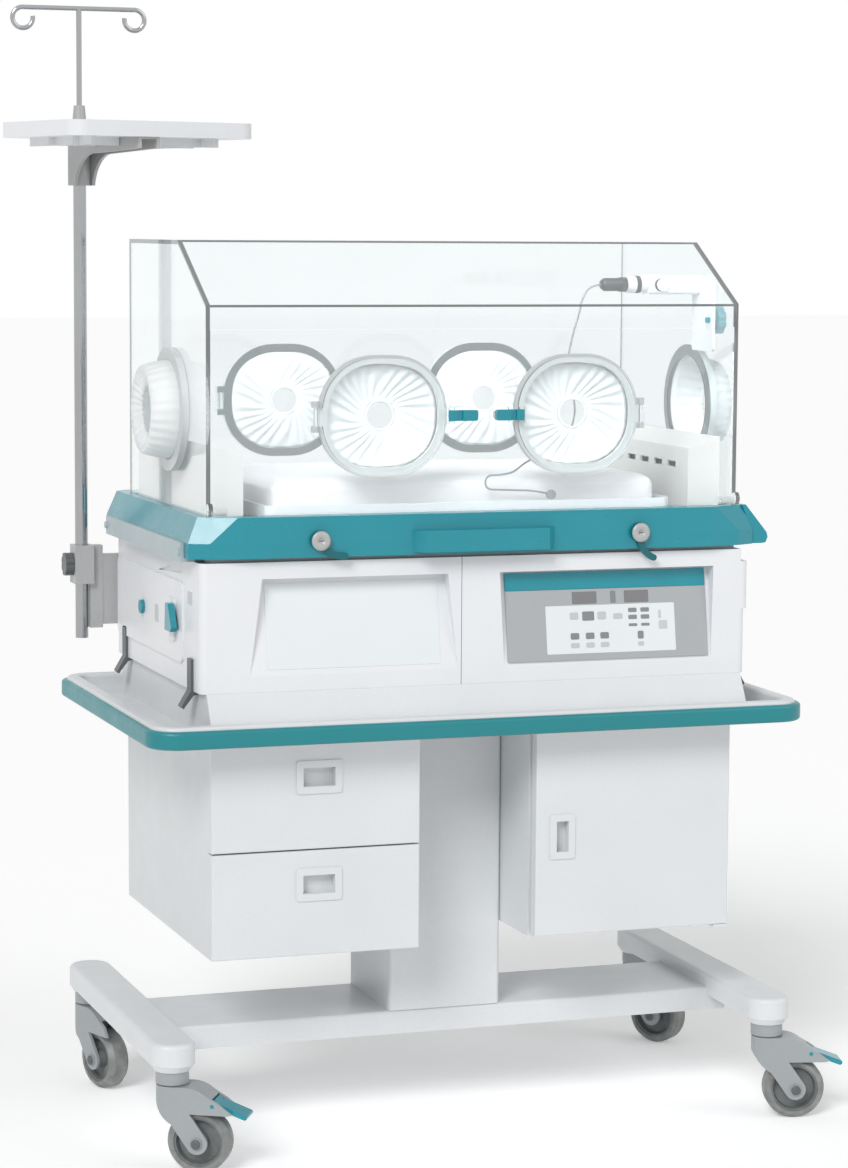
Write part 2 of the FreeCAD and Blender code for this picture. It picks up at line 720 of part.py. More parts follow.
def drawer_levels():
    """For the lower and the upper drawer: foot of its box and the box's height."""
    foot = DECK_Z - CABINET_HEIGHT
    lower = foot + CABINET_WALL + RUNNER_HEIGHT + SEAT
    upper = foot + DRAWER_SPLIT + RUNNER_HEIGHT + SEAT
    return {"lower": (lower, LOWER_BOX_HEIGHT), "upper": (upper, UPPER_BOX_HEIGHT)}


def drawer_cabinet():
    x0 = left_cabinet_x()
    x1 = x0 + CABINET_WIDTH
    front = FRONT_FACE + FRONT_T + SEAT
    shell = carcass(x0, front)
    runners = []
    for level, _ in drawer_levels().values():
        for left, right in ((x0 + CABINET_WALL, x0 + CABINET_WALL + RUNNER_WIDTH),
                            (x1 - CABINET_WALL - RUNNER_WIDTH, x1 - CABINET_WALL)):
            runners.append(box(left, right, front, CABINET_REAR - CABINET_WALL,
                               level - SEAT - RUNNER_HEIGHT, level - SEAT))
    return fuse([shell] + runners)


def cup_pull(x, z, width, height, depth=PULL_DEPTH):
    """A recessed finger cup with a proud flange, seated in an opening of a front."""
    back = FRONT_FACE + depth
    flange = slab(x - width / 2, x + width / 2, z - height / 2, z + height / 2, 0, PULL_PROUD, 4.0)
    flange = facing_front(flange, FRONT_FACE)
    half_w = width / 2 - PULL_RIM
    half_h = height / 2 - PULL_RIM
    cup = box(x - half_w, x + half_w, FRONT_FACE, back, z - half_h, z + half_h)
    inner = box(x - half_w + 2, x + half_w - 2, FRONT_FACE - PULL_PROUD - 1, back - 2, z - half_h + 2, z + half_h - 2)
    return fuse([flange, cup]).cut(inner)


def pull_opening(x, z, width, height):
    half_w = width / 2 - PULL_RIM + FIT
    half_h = height / 2 - PULL_RIM + FIT
    return box(x - half_w, x + half_w, FRONT_FACE - 1, FRONT_FACE + PULL_DEPTH + FIT, z - half_h, z + half_h)


def drawer(which):
    """A drawer: its front with the finger cup, and its open box on the runners."""
    x0 = left_cabinet_x()
    x1 = x0 + CABINET_WIDTH
    foot = DECK_Z - CABINET_HEIGHT
    half_gap = PANEL_GAP / 2
    if which == "lower":
        low, high = foot, foot + DRAWER_SPLIT - half_gap
    else:
        low, high = foot + DRAWER_SPLIT + half_gap, DECK_Z - PANEL_GAP
    x = (x0 + x1) / 2 + 3
    z = (low + high) / 2 + (24 if which == "upper" else 26)
    front = box(x0, x1, FRONT_FACE, FRONT_FACE + FRONT_T, low, high)
    front = round_edges(front, 2.0, lambda e: e.BoundBox.YMax < FRONT_FACE + 0.01)
    front = front.cut(pull_opening(x, z, PULL_WIDTH, PULL_HEIGHT))
    level, height = drawer_levels()[which]
    side = CABINET_WALL + DRAWER_SIDE_GAP
    start = FRONT_FACE + FRONT_T
    tub = box(x0 + side, x1 - side, start, start + DRAWER_DEPTH, level, level + height)
    wall = DRAWER_WALL
    tub = tub.cut(box(x0 + side + wall, x1 - side - wall, start + wall, start + DRAWER_DEPTH - wall,
                      level + wall, level + height + 1))
    return Part.makeCompound([front, tub, cup_pull(x, z, PULL_WIDTH, PULL_HEIGHT)])


def pivot_place():
    x = COLUMN_WIDTH / 2 + SEAT + CABINET_WIDTH - PIVOT_INSET
    return x, FRONT_FACE + FRONT_T / 2


def door_cabinet():
    """The right-hand cabinet, with a bracket and pin above and below its door."""
    x0 = COLUMN_WIDTH / 2 + SEAT
    x1 = x0 + CABINET_WIDTH
    front = FRONT_FACE + FRONT_T + DOOR_CLEAR
    foot = DECK_Z - CABINET_HEIGHT
    x, y = pivot_place()
    low = box(x - 12, x1, FRONT_FACE + 1, front + 1, foot, foot + PIVOT_BRACKET_T)
    low_pin = rod(V(x, y, foot + 1), UP, PIVOT_R, PIVOT_BRACKET_T - 1 + PIVOT_LENGTH)
    high = box(x - 12, x1, FRONT_FACE + 1, front + 1, DECK_Z - PIVOT_BRACKET_T, DECK_Z)
    high_pin = rod(V(x, y, DECK_Z - PIVOT_BRACKET_T - PIVOT_LENGTH), UP, PIVOT_R, PIVOT_LENGTH + 1)
    return fuse([carcass(x0, front), low, low_pin, high, high_pin])


def cabinet_door():
    x0 = COLUMN_WIDTH / 2 + SEAT + 3
    x1 = COLUMN_WIDTH / 2 + SEAT + CABINET_WIDTH
    low = DECK_Z - CABINET_HEIGHT + PIVOT_BRACKET_T + SEAT
    high = DECK_Z - PIVOT_BRACKET_T - SEAT
    z = DECK_Z - CABINET_HEIGHT + DOOR_PULL_Z
    slab_door = box(x0, x1, FRONT_FACE, FRONT_FACE + FRONT_T, low, high)
    slab_door = round_edges(slab_door, 2.0, lambda e: e.BoundBox.YMax < FRONT_FACE + 0.01)
    slab_door = slab_door.cut(pull_opening(DOOR_PULL_X, z, DOOR_PULL_WIDTH, DOOR_PULL_HEIGHT))
    x, y = pivot_place()
    bore = PIVOT_LENGTH + SEAT
    slab_door = slab_door.cut(rod(V(x, y, low - 1), UP, PIVOT_R + FIT, bore + 1))
    slab_door = slab_door.cut(rod(V(x, y, high - bore), UP, PIVOT_R + FIT, bore + 1))
    return Part.makeCompound([slab_door, cup_pull(DOOR_PULL_X, z, DOOR_PULL_WIDTH, DOOR_PULL_HEIGHT)])


# Lower housing


def end_pad():
    """The panel that stands proud on the housing's right end."""
    pad = slab(0, HOUSE_HALF_X + END_PAD_T, HOUSE_FRONT, HOUSE_REAR, HOUSE_Z + END_PAD_LOW, HOUSE_Z + END_PAD_HIGH,
               HOUSE_CORNER_R)
    return pad.cut(box(-1, HOUSE_HALF_X - HOUSE_CORNER_R, HOUSE_FRONT - 1, HOUSE_REAR + 1, HOUSE_Z, FLOOR_Z))


def end_neck():
    """What is left out above that panel, where the housing's right end draws in."""
    return box(HOUSE_HALF_X - END_NECK, HOUSE_HALF_X + 1, HOUSE_FRONT - 1, HOUSE_REAR + 1,
               HOUSE_Z + END_PAD_HIGH + SEAT, FLOOR_Z + 1)


def grip_slot():
    """The slanted slot in the left side, thin at its rear end."""
    low = HOUSE_Z + SLOT_Z
    rise = SLOT_RISE - SLOT_HEIGHT
    middle = (SLOT_FRONT + SLOT_REAR) / 2
    outline = polygon([V(SLOT_REAR, low, 0), V(SLOT_FRONT, low + rise, 0), V(SLOT_FRONT - 2, low + SLOT_RISE, 0),
                       V(middle, low + SLOT_RISE * 0.7, 0)])
    return facing_side(outline.extrude(V(0, 0, HOUSE_WALL)), -HOUSE_HALF_X - 1)


def base_housing():
    """The open-topped tub behind the front covers, with a grip slot in its left side."""
    x = HOUSE_HALF_X
    front = COVER_BACK + SEAT
    tub = slab(-x, x, front - 40, HOUSE_REAR, HOUSE_Z, FLOOR_Z, HOUSE_CORNER_R)
    tub = tub.fuse(end_pad()).cut(end_neck())
    tub = tub.cut(box(-x - 1, x + END_PAD_T + 1, front - 50, front, HOUSE_Z - 1, FLOOR_Z + 1))
    wall = HOUSE_WALL
    tub = tub.cut(slab(-x + wall, x - wall, front + wall, HOUSE_REAR - wall, HOUSE_Z + wall, FLOOR_Z + 1,
                       HOUSE_CORNER_R - wall))
    button = rod(V(-x - 1, BUTTON_Y, HOUSE_Z + BUTTON_Z), ALONG_X, BUTTON_R - 3 + FIT, wall + 2)
    hub = rod(V(-x - 1, LEVER_Y, HOUSE_Z + LEVER_Z), ALONG_X, LEVER_HUB_R - 3 + FIT, wall + 2)
    return tub.cut(grip_slot()).cut(button).cut(hub)


def recess_slope():
    """The angle of a cover's recessed face from upright, in degrees."""
    return math.degrees(math.atan2(RECESS_DEPTH, RECESS_HIGH - RECESS_LOW))


def recess(top, foot, grow=0.0):
    """A pocket that is deep at its top and flush at its foot, wider or narrower below."""
    low = HOUSE_Z + RECESS_LOW - grow
    high = HOUSE_Z + RECESS_HIGH + grow
    side = polygon([V(HOUSE_FRONT - 5, low, 0), V(HOUSE_FRONT + grow * 0.8, low, 0),
                    V(HOUSE_FRONT + RECESS_DEPTH + grow, high, 0), V(HOUSE_FRONT - 5, high, 0)])
    span = 2 * HOUSE_HALF_X
    wedge = facing_side(side.extrude(V(0, 0, span)), -span / 2)
    outline = polygon([V(foot[0] - grow, low, 0), V(foot[1] + grow, low, 0),
                       V(top[1] + grow, high, 0), V(top[0] - grow, high, 0)])
    mask = facing_front(outline.extrude(V(0, 0, 2 * COVER_DEPTH)), HOUSE_FRONT + COVER_DEPTH)
    return wedge.common(mask)


def front_cover(x0, x1, left_corner, pocket_top, pocket_foot):
    """A moulded front cover: a hollow shell with one slanted recess in its face."""
    body = slab(x0 - (0 if left_corner else 60), x1 + (60 if left_corner else 0), HOUSE_FRONT,
                COVER_BACK + 60, HOUSE_Z, FLOOR_Z, HOUSE_CORNER_R)
    if not left_corner:
        body = body.fuse(end_pad()).cut(end_neck())
    body = body.common(box(x0, x1 + (0 if left_corner else END_PAD_T), HOUSE_FRONT - 1, COVER_BACK, HOUSE_Z, FLOOR_Z))
    wall = HOUSE_WALL
    hollow = box(x0 + wall, x1 - wall, HOUSE_FRONT + wall, COVER_BACK + 1, HOUSE_Z + wall, FLOOR_Z - wall)
    hollow = hollow.cut(recess(pocket_top, pocket_foot, wall))
    outer = HOUSE_CORNER_R
    corner_x = x0 if left_corner else x1 - outer
    guard = box(corner_x, corner_x + outer, HOUSE_FRONT, HOUSE_FRONT + outer, HOUSE_Z, FLOOR_Z)
    hollow = hollow.cut(guard)
    return body.cut(hollow).cut(recess(pocket_top, pocket_foot))


def front_covers():
    half_seam = COVER_SEAM / 2
    left = front_cover(-HOUSE_HALF_X, COVER_SEAM_X - half_seam, True, LABEL_TOP, LABEL_FOOT)
    right = front_cover(COVER_SEAM_X + half_seam, HOUSE_HALF_X, False, PANEL_TOP, PANEL_FOOT)
    return Part.makeCompound([left, right])


def on_slope(x0, x1, up0, up1, lift, thickness):
    """A plate on the recessed face: up is measured along the slope from the recess's foot."""
    plate = box(x0, x1, -lift - thickness, -lift, up0, up1)
    plate.rotate(V(0, 0, 0), ALONG_X, -recess_slope())
    plate.translate(V(0, HOUSE_FRONT, HOUSE_Z + RECESS_LOW))
    return plate


def control_panel():
    """The operating panel: plate, coloured strip, membrane keypad, two display windows and keys."""
    slope_length = math.hypot(RECESS_DEPTH, RECESS_HIGH - RECESS_LOW)
    x0 = max(PANEL_TOP[0], PANEL_FOOT[0]) + PANEL_MARGIN
    x1 = min(PANEL_TOP[1], PANEL_FOOT[1]) - PANEL_MARGIN
    top = slope_length - PANEL_MARGIN
    strip_foot = top - STRIP_HEIGHT
    pieces = [on_slope(x0, x1, PANEL_MARGIN, strip_foot, 0.1, PANEL_T),
              on_slope(x0, x1, strip_foot, top, 0.1, PANEL_T + 0.6)]
    face = 0.1 + PANEL_T
    left, right = KEYPAD_X - KEYPAD_HALF_WIDTH, KEYPAD_X + KEYPAD_HALF_WIDTH
    pieces.append(on_slope(left, right, KEYPAD_LIFT, KEYPAD_LIFT + KEYPAD_HEIGHT, face, MEMBRANE_T))
    for x in (KEYPAD_X - 57, KEYPAD_X + 22):
        pieces.append(on_slope(x, x + 37, strip_foot - 22, strip_foot - 5, face, MEMBRANE_T))
    row = KEYPAD_LIFT + 44
    low_row = KEYPAD_LIFT + 8
    for x, up, width in ((-62, row, 12), (-44, row, 18), (-20, row, 12), (2, row, 12), (29, row, 12), (48, row, 14),
                         (73, row - 4, 12), (-62, low_row, 12), (-40, low_row, 14), (-18, low_row, 14),
                         (42, low_row, 10)):
        pieces.append(on_slope(KEYPAD_X + x, KEYPAD_X + x + width, up, up + 14, face + MEMBRANE_T, KEY_T))
    return Part.makeCompound(pieces)


def side_cover():
    """The access cover on the left side, with holes for its button and its lever."""
    low = HOUSE_Z + SIDE_COVER_LOW
    high = HOUSE_Z + SIDE_COVER_HIGH
    plate = slab(SIDE_COVER_FRONT, SIDE_COVER_REAR, low, high, 0, SIDE_COVER_T, 10.0)
    plate = facing_side(plate, -HOUSE_HALF_X - SIDE_COVER_T)
    start = -HOUSE_HALF_X - SIDE_COVER_T - 1
    clip_y = CLIP_Y[1]
    notch = CLIP_WIDTH / 2 + 1.5
    plate = plate.cut(box(start, start + SIDE_COVER_T + 2, clip_y - notch, clip_y + notch, low - 1,
                          HOUSE_Z + CLIP_RISE + 1.5))
    plate = plate.cut(rod(V(start, BUTTON_Y, HOUSE_Z + BUTTON_Z), ALONG_X, BUTTON_R + FIT, SIDE_COVER_T + 2))
    half = LEVER_PLATE_WIDTH / 2
    z = HOUSE_Z + LEVER_PLATE_Z
    scutcheon = slab(LEVER_PLATE_Y - half, LEVER_PLATE_Y + half, z - LEVER_PLATE_HEIGHT / 2,
                     z + LEVER_PLATE_HEIGHT / 2, 0, LEVER_PLATE_T, 5.0)
    scutcheon = facing_side(scutcheon, -HOUSE_HALF_X - SIDE_COVER_T - LEVER_PLATE_T)
    bore = rod(V(start - LEVER_PLATE_T, LEVER_Y, HOUSE_Z + LEVER_Z), ALONG_X, LEVER_HUB_R + FIT,
               SIDE_COVER_T + LEVER_PLATE_T + 2)
    return Part.makeCompound([plate.cut(bore), scutcheon.cut(bore)])


def side_button():
    """The push button: a head in the cover's hole and a stem through the housing wall."""
    face = -HOUSE_HALF_X - SIDE_COVER_T - BUTTON_PROUD
    z = HOUSE_Z + BUTTON_Z
    head_length = SIDE_COVER_T + BUTTON_PROUD - BUTTON_TRAVEL - SEAT
    head = rod(V(face, BUTTON_Y, z), ALONG_X, BUTTON_R, head_length)
    stem = rod(V(face + head_length - 1, BUTTON_Y, z), ALONG_X, BUTTON_R - 3, HOUSE_WALL + BUTTON_TRAVEL + 6)
    return fuse([head, stem])


def side_lever():
    """The turning latch of the side cover: a hub and a wedge-shaped grip that widens downwards."""
    face = -HOUSE_HALF_X - SIDE_COVER_T - LEVER_PLATE_T
    z = HOUSE_Z + LEVER_Z
    hub = rod(V(face - 2, LEVER_Y, z), ALONG_X, LEVER_HUB_R, LEVER_PLATE_T + SIDE_COVER_T + 2 - SEAT)
    stem = rod(V(face - 1, LEVER_Y, z), ALONG_X, LEVER_HUB_R - 3, LEVER_PLATE_T + SIDE_COVER_T + HOUSE_WALL + 6)
    grip = polygon([V(LEVER_Y + 6, z + 20, 0), V(LEVER_Y - 9, z + 20, 0), V(LEVER_Y - 27, z - 12, 0),
                    V(LEVER_Y - 22, z - 18, 0), V(LEVER_Y + 9, z - 18, 0)])
    grip = facing_side(grip.extrude(V(0, 0, LEVER_T)), face - SEAT - LEVER_T)
    return fuse([hub, stem, grip])


def hold_down_clips():
    """Four spring straps that hook the housing to the plinth, each with a flared foot to pull."""
    clips = []
    wall = HOUSE_HALF_X
    foot = HOUSE_Z - CLIP_T
    for y in CLIP_Y:
        profile = polygon([
            V(-wall, 0, HOUSE_Z + CLIP_RISE), V(-wall - CLIP_T, 0, HOUSE_Z + CLIP_RISE),
            V(-wall - CLIP_T, 0, HOUSE_Z + 1), V(-wall - CLIP_T - CLIP_FLARE, 0, foot - CLIP_FALL + 3),
            V(-wall - CLIP_FLARE - 1, 0, foot - CLIP_FALL), V(-wall, 0, foot - 2), V(-PLINTH_HALF_X, 0, foot),
            V(-PLINTH_HALF_X, 0, HOUSE_Z), V(-wall, 0, HOUSE_Z)])
        strap = profile.extrude(V(0, CLIP_WIDTH, 0))
        strap.translate(V(0, y - CLIP_WIDTH / 2, 0))
        clips += [strap, mirrored(strap)]
    return Part.makeCompound(clips)


# Air unit


def fan_motor():
    floor = HOUSE_Z + HOUSE_WALL
    case = rod(V(FAN_X, FAN_Y, floor), UP, MOTOR_R, MOTOR_HEIGHT)
    flange = rod(V(FAN_X, FAN_Y, floor), UP, MOTOR_R + 12, 5.0)
    shaft = rod(V(FAN_X, FAN_Y, floor), UP, SHAFT_R, MOTOR_HEIGHT + IMPELLER_HEIGHT + 8)
    return fuse([case, flange, shaft])


def fan_impeller():
    """A radial impeller: a back plate, a hub on the motor shaft and swept blades."""
    foot = HOUSE_Z + HOUSE_WALL + MOTOR_HEIGHT + 3
    plate = rod(V(FAN_X, FAN_Y, foot), UP, IMPELLER_R, 3.0)
    hub = rod(V(FAN_X, FAN_Y, foot), UP, SHAFT_R + 7, IMPELLER_HEIGHT)
    blades = []
    for index in range(BLADE_COUNT):
        blade = box(SHAFT_R + 14, IMPELLER_R - 2, -BLADE_T / 2, BLADE_T / 2, 2.0, IMPELLER_HEIGHT)
        blade.rotate(V(SHAFT_R + 14, 0, 0), UP, 28)
        blade.rotate(V(0, 0, 0), UP, index * 360.0 / BLADE_COUNT)
        blade.translate(V(FAN_X, FAN_Y, foot))
        blades.append(blade)
    wheel = fuse([plate, hub] + blades)
    return wheel.cut(rod(V(FAN_X, FAN_Y, foot - 1), UP, SHAFT_R + FIT, IMPELLER_HEIGHT + 2))


def heater():
    """The heating ring round the fan, on three feet."""
    level = HOUSE_Z + HOUSE_WALL + MOTOR_HEIGHT + IMPELLER_HEIGHT / 2
    ring = Part.makeTorus(HEATER_R, HEATER_WIRE_R, V(FAN_X, FAN_Y, level), UP)
    feet = []
    for turn in (30, 150, 270):
        x = FAN_X + HEATER_R * math.cos(math.radians(turn))
        y = FAN_Y + HEATER_R * math.sin(math.radians(turn))
        feet.append(rod(V(x, y, HOUSE_Z + HOUSE_WALL), UP, 3.5, level - HOUSE_Z - HOUSE_WALL))
    return fuse([ring] + feet)


def water_tank():
    """The humidifier's open tank, behind the side cover."""
    x0 = -HOUSE_HALF_X + HOUSE_WALL + 30
    y0 = SIDE_COVER_FRONT + TANK_SETBACK
    z0 = HOUSE_Z + HOUSE_WALL
    tank = slab(x0, x0 + TANK_LENGTH, y0, y0 + TANK_WIDTH, z0, z0 + TANK_HEIGHT, 12.0)
    wall = TANK_WALL
    return tank.cut(slab(x0 + wall, x0 + TANK_LENGTH - wall, y0 + wall, y0 + TANK_WIDTH - wall, z0 + wall,
                         z0 + TANK_HEIGHT + 1, 9.0))


# Compartment floor and trim


def chassis_floor():
    """The compartment floor on the housing, with air slots and a bolted rail at the left end."""
    plate = slab(-FLOOR_HALF_X, FLOOR_HALF_X, FLOOR_FRONT, FLOOR_REAR, FLOOR_Z, TRIM_Z, 14.0)
    slot = slab(AIR_SLOT_X, AIR_SLOT_X + AIR_SLOT_WIDTH, -AIR_SLOT_HALF_LENGTH, AIR_SLOT_HALF_LENGTH,
                FLOOR_Z - 1, TRIM_Z + 1, 6.0)
    plate = plate.cut(slot).cut(mirrored(slot))
    outer = -TRIM_HALF_X - SEAT - SIDE_RAIL_T
    foot = box(outer, -FLOOR_HALF_X + 1, SIDE_RAIL_FRONT, SIDE_RAIL_REAR, FLOOR_Z, TRIM_Z)
    rail = box(outer, outer + SIDE_RAIL_T, SIDE_RAIL_FRONT, SIDE_RAIL_REAR, FLOOR_Z, FLOOR_Z + SIDE_RAIL_HEIGHT)
    bolts = [rod(V(outer - RAIL_BOLT_T, y, FLOOR_Z + SIDE_RAIL_HEIGHT / 2), ALONG_X, RAIL_BOLT_R, RAIL_BOLT_T + 1)
             for y in (SIDE_RAIL_FRONT + RAIL_BOLT_R, SIDE_RAIL_REAR - RAIL_BOLT_R)]
    return fuse([plate, foot, rail] + bolts)


def trim_corners(z, end, front, rear, inset=0.0):
    """The ten corners of the trim frame's outline on one level."""
    knee = TRIM_KNEE_X - inset / 2
    right = [V(TRIM_FACE_HALF_X, front + inset, z), V(knee, front + TRIM_KNEE_BACK + inset, z),
             V(end - inset, front + TRIM_CORNER_BACK + inset, z), V(end - inset, rear - TRIM_REAR_BACK - inset, z),
             V(TRIM_REAR_HALF_X, rear - inset, z)]
    left = [V(-p.x, p.y, z) for p in reversed(right)]
    return right + left


def lofted(lower, upper):
    wires = [Part.makePolygon(points + [points[0]]) for points in (lower, upper)]
    return Part.makeLoft(wires, True, True)


def corner_facet(inset):
    """What the slanted facet cuts off the trim's right front corner."""
    band_top = TRIM_Z + TRIM_BAND
    high = V(TRIM_FACET_X, TRIM_FRONT, HOOD_Z)
    knee = V(TRIM_KNEE_X, TRIM_FRONT + TRIM_KNEE_BACK, band_top)
    low = V(TRIM_HALF_X, TRIM_FRONT + TRIM_CORNER_BACK, band_top)
    normal = (low - knee).cross(high - knee).normalize()
    block = Part.makeBox(240, 240, 80, V(-120, -120, -inset))
    block.Placement = FreeCAD.Placement(knee, FreeCAD.Rotation(UP, normal))
    return block


def trim_body(inset):
    """The frame's outside shape, or the hollow in it: an upright band, then faces that lean in."""
    band_top = TRIM_Z + TRIM_BAND
    top = HOOD_Z - inset
    foot = TRIM_Z - (1 if inset else 0)
    band = polygon(trim_corners(foot, TRIM_HALF_X, TRIM_FRONT, TRIM_REAR, inset)).extrude(V(0, 0, band_top - foot))
    cap = lofted(trim_corners(band_top, TRIM_HALF_X, TRIM_FRONT, TRIM_REAR, inset),
                 trim_corners(top, TRIM_HALF_X - TRIM_END_SLOPE, TRIM_FRONT + 2, TRIM_REAR - 2, inset))
    facet = corner_facet(inset)
    return fuse([band, cap]).cut(facet).cut(mirrored(facet))


def trim_ring():
    """The whole frame round the hood's foot, hollow below and open inside the hood."""
    wall = TRIM_WALL
    inner_x = HOOD_HALF_X - HOOD_SEAT
    opening = (-inner_x, inner_x, HOOD_FRONT + HOOD_SEAT, HOOD_REAR - HOOD_SEAT)
    keep = slab(opening[0] - wall, opening[1] + wall, opening[2] - wall, opening[3] + wall, TRIM_Z - 2, HOOD_Z, 12.0)
    ring = trim_body(0.0).cut(trim_body(wall).cut(keep))
    return ring.cut(slab(*opening, TRIM_Z - 2, HOOD_Z + 1, 8.0))


def end_cap():
    """The moulded cap over the trim's right end, hollow below."""
    top_x = TRIM_HALF_X - TRIM_END_SLOPE
    out = TRIM_HALF_X + END_CAP_REACH
    band_top = TRIM_Z + TRIM_BAND
    wall = TRIM_WALL
    outer = polygon([V(top_x, HOOD_Z, 0), V(top_x + 6, HOOD_Z, 0), V(out - 2, TRIM_Z + 16, 0), V(out, TRIM_Z + 9, 0),
                     V(out - 3, TRIM_Z + 1, 0), V(out - 9, TRIM_Z, 0), V(TRIM_HALF_X, TRIM_Z, 0),
                     V(TRIM_HALF_X, band_top, 0)])
    inner = polygon([V(TRIM_HALF_X + wall, TRIM_Z - 1, 0), V(TRIM_HALF_X + wall, band_top + 3, 0),
                     V(out - 9, TRIM_Z + 14, 0), V(out - 9, TRIM_Z - 1, 0)])
    front = TRIM_FRONT + END_CAP_BACK
    rear = TRIM_REAR - END_CAP_BACK
    cap = facing_front(outer.extrude(V(0, 0, rear - front)), rear)
    return cap.cut(facing_front(inner.extrude(V(0, 0, rear - front - 2 * wall)), rear - wall))


def seam_box():
    return box(-TRIM_SEAM_X, TRIM_SEAM_X, TRIM_FRONT - 50, HOOD_FRONT + HOOD_SEAT, TRIM_Z - 5, HOOD_Z + 50)


def trim_front(ring):
    """The frame's front piece, with its pull bulge and the pivots of its two catches."""
    piece = ring.common(seam_box())
    low = TRIM_Z + PULL_BULGE_LOW
    half = PULL_BULGE_HALF_X
    out = TRIM_FRONT - PULL_BULGE_T
    bulge = polygon([V(-half - 14, TRIM_FRONT + 1, low), V(-half, out, low), V(half, out, low),
                     V(half + 14, TRIM_FRONT + 1, low)]).extrude(V(0, 0, PULL_BULGE_HEIGHT))
    hold = polygon([V(-half - 6, TRIM_FRONT, low), V(-half + 4, out + 4, low), V(half - 4, out + 4, low),
                    V(half + 6, TRIM_FRONT, low)]).extrude(V(0, 0, PULL_BULGE_HEIGHT - 5))
    bulge = bulge.cut(hold)
    pivots = []
    for x in CATCH_X:
        pivots.append(rod(V(x, TRIM_FRONT - CATCH_T - SEAT, TRIM_Z + CATCH_Z), ALONG_Y, 3.0, CATCH_T + 2))
    return fuse([piece, bulge] + pivots)


def trim_surround(ring):
    """The rest of the frame with the pins of the hood's two rear hinges, and the right end's cap."""
    piece = ring.cut(seam_box())
    ears = []
    level = HOOD_Z + HINGE_UP
    for x in (-HOOD_HINGE_X, HOOD_HINGE_X):
        for x0 in (x - HOOD_HINGE_WIDTH / 2 - EAR_WIDTH - SEAT, x + HOOD_HINGE_WIDTH / 2 + SEAT):
            ears.append(rod(V(x0, HOOD_HINGE_Y, level), ALONG_X, HINGE_R, EAR_WIDTH))
            ears.append(box(x0, x0 + EAR_WIDTH, HOOD_HINGE_Y - HINGE_R, HOOD_HINGE_Y + HINGE_R, HOOD_Z - 1, level))
        ears.append(rod(V(x - HOOD_HINGE_WIDTH / 2 - EAR_WIDTH, HOOD_HINGE_Y, level), ALONG_X, HINGE_PIN_R,
                        HOOD_HINGE_WIDTH + 2 * EAR_WIDTH))
    return Part.makeCompound([fuse([piece] + ears), end_cap()])


def frame_catch(side):
    """A turning catch on the trim's front: a round head and a curved finger."""
    x = CATCH_X[0] if side == "left" else CATCH_X[1]
    head = Part.makeCylinder(CATCH_R, CATCH_T)
    bend = CATCH_REACH * 0.75
    half = CATCH_WIDTH / 2
    start = V(bend, 0, 0)

    def on_arc(radius, degrees):
        angle = math.radians(degrees)
        return start + V(-radius * math.cos(angle), -radius * math.sin(angle), 0)

    finger = Part.Face(Part.Wire([
        Part.Arc(on_arc(bend + half, 5), on_arc(bend + half, 40), on_arc(bend + half, 75)).toShape(),
        Part.Arc(on_arc(bend + half, 75), on_arc(bend, 82), on_arc(bend - half, 75)).toShape(),
        Part.Arc(on_arc(bend - half, 75), on_arc(bend - half, 40), on_arc(bend - half, 5)).toShape(),
        Part.makeLine(on_arc(bend - half, 5), on_arc(bend + half, 5))])).extrude(V(0, 0, CATCH_T - 2))
    catch = fuse([head, finger]).cut(Part.makeCylinder(3.0 + FIT, CATCH_T * 3, V(0, 0, -CATCH_T)))
    catch.rotate(V(0, 0, 0), UP, CATCH_TURN[side] * 0.5)
    catch = facing_front(catch, TRIM_FRONT - SEAT)
    catch.translate(V(x, 0, TRIM_Z + CATCH_Z))
    return catch


# Hood


def hood_outline(inset):
    """The hood's end profile as (y, z), a wall's thickness in where inset is set."""
    slope = math.atan2(HOOD_HEIGHT - HOOD_FRONT_HEIGHT, HOOD_SLOPE_TOP - HOOD_FRONT)
    knee = inset * math.tan((math.pi / 2 - slope) / 2)
    crown = inset * math.tan(slope / 2)
    return [(HOOD_FRONT + inset, HOOD_Z), (HOOD_FRONT + inset, HOOD_Z + HOOD_FRONT_HEIGHT - knee),
            (HOOD_SLOPE_TOP + crown, HOOD_Z + HOOD_HEIGHT - inset), (HOOD_REAR - inset, HOOD_Z + HOOD_HEIGHT - inset),
            (HOOD_REAR - inset, HOOD_Z)]


def hood_top():
    """The bent top sheet: front lip, sloped window and flat roof."""
    outer = hood_outline(0)
    inner = hood_outline(ACRYLIC)
    lip = HOOD_Z + DOOR_TOP + DOOR_LIFT
    points = [(HOOD_FRONT, lip), outer[1], outer[2], outer[3], (HOOD_REAR, inner[3][1]),
              inner[2], inner[1], (HOOD_FRONT + ACRYLIC, lip)]
    half = HOOD_HALF_X - ACRYLIC
    face = polygon([V(y, z, 0) for y, z in points])
    return facing_side(face.extrude(V(0, 0, 2 * half)), -half)


def port_hole(x, y0, depth):
    hole = slab(x - PORT_WIDTH / 2, x + PORT_WIDTH / 2, PORT_LEVEL - PORT_HEIGHT / 2,
                PORT_LEVEL + PORT_HEIGHT / 2, 0, depth, PORT_R)
    return facing_front(hole, y0 + depth)


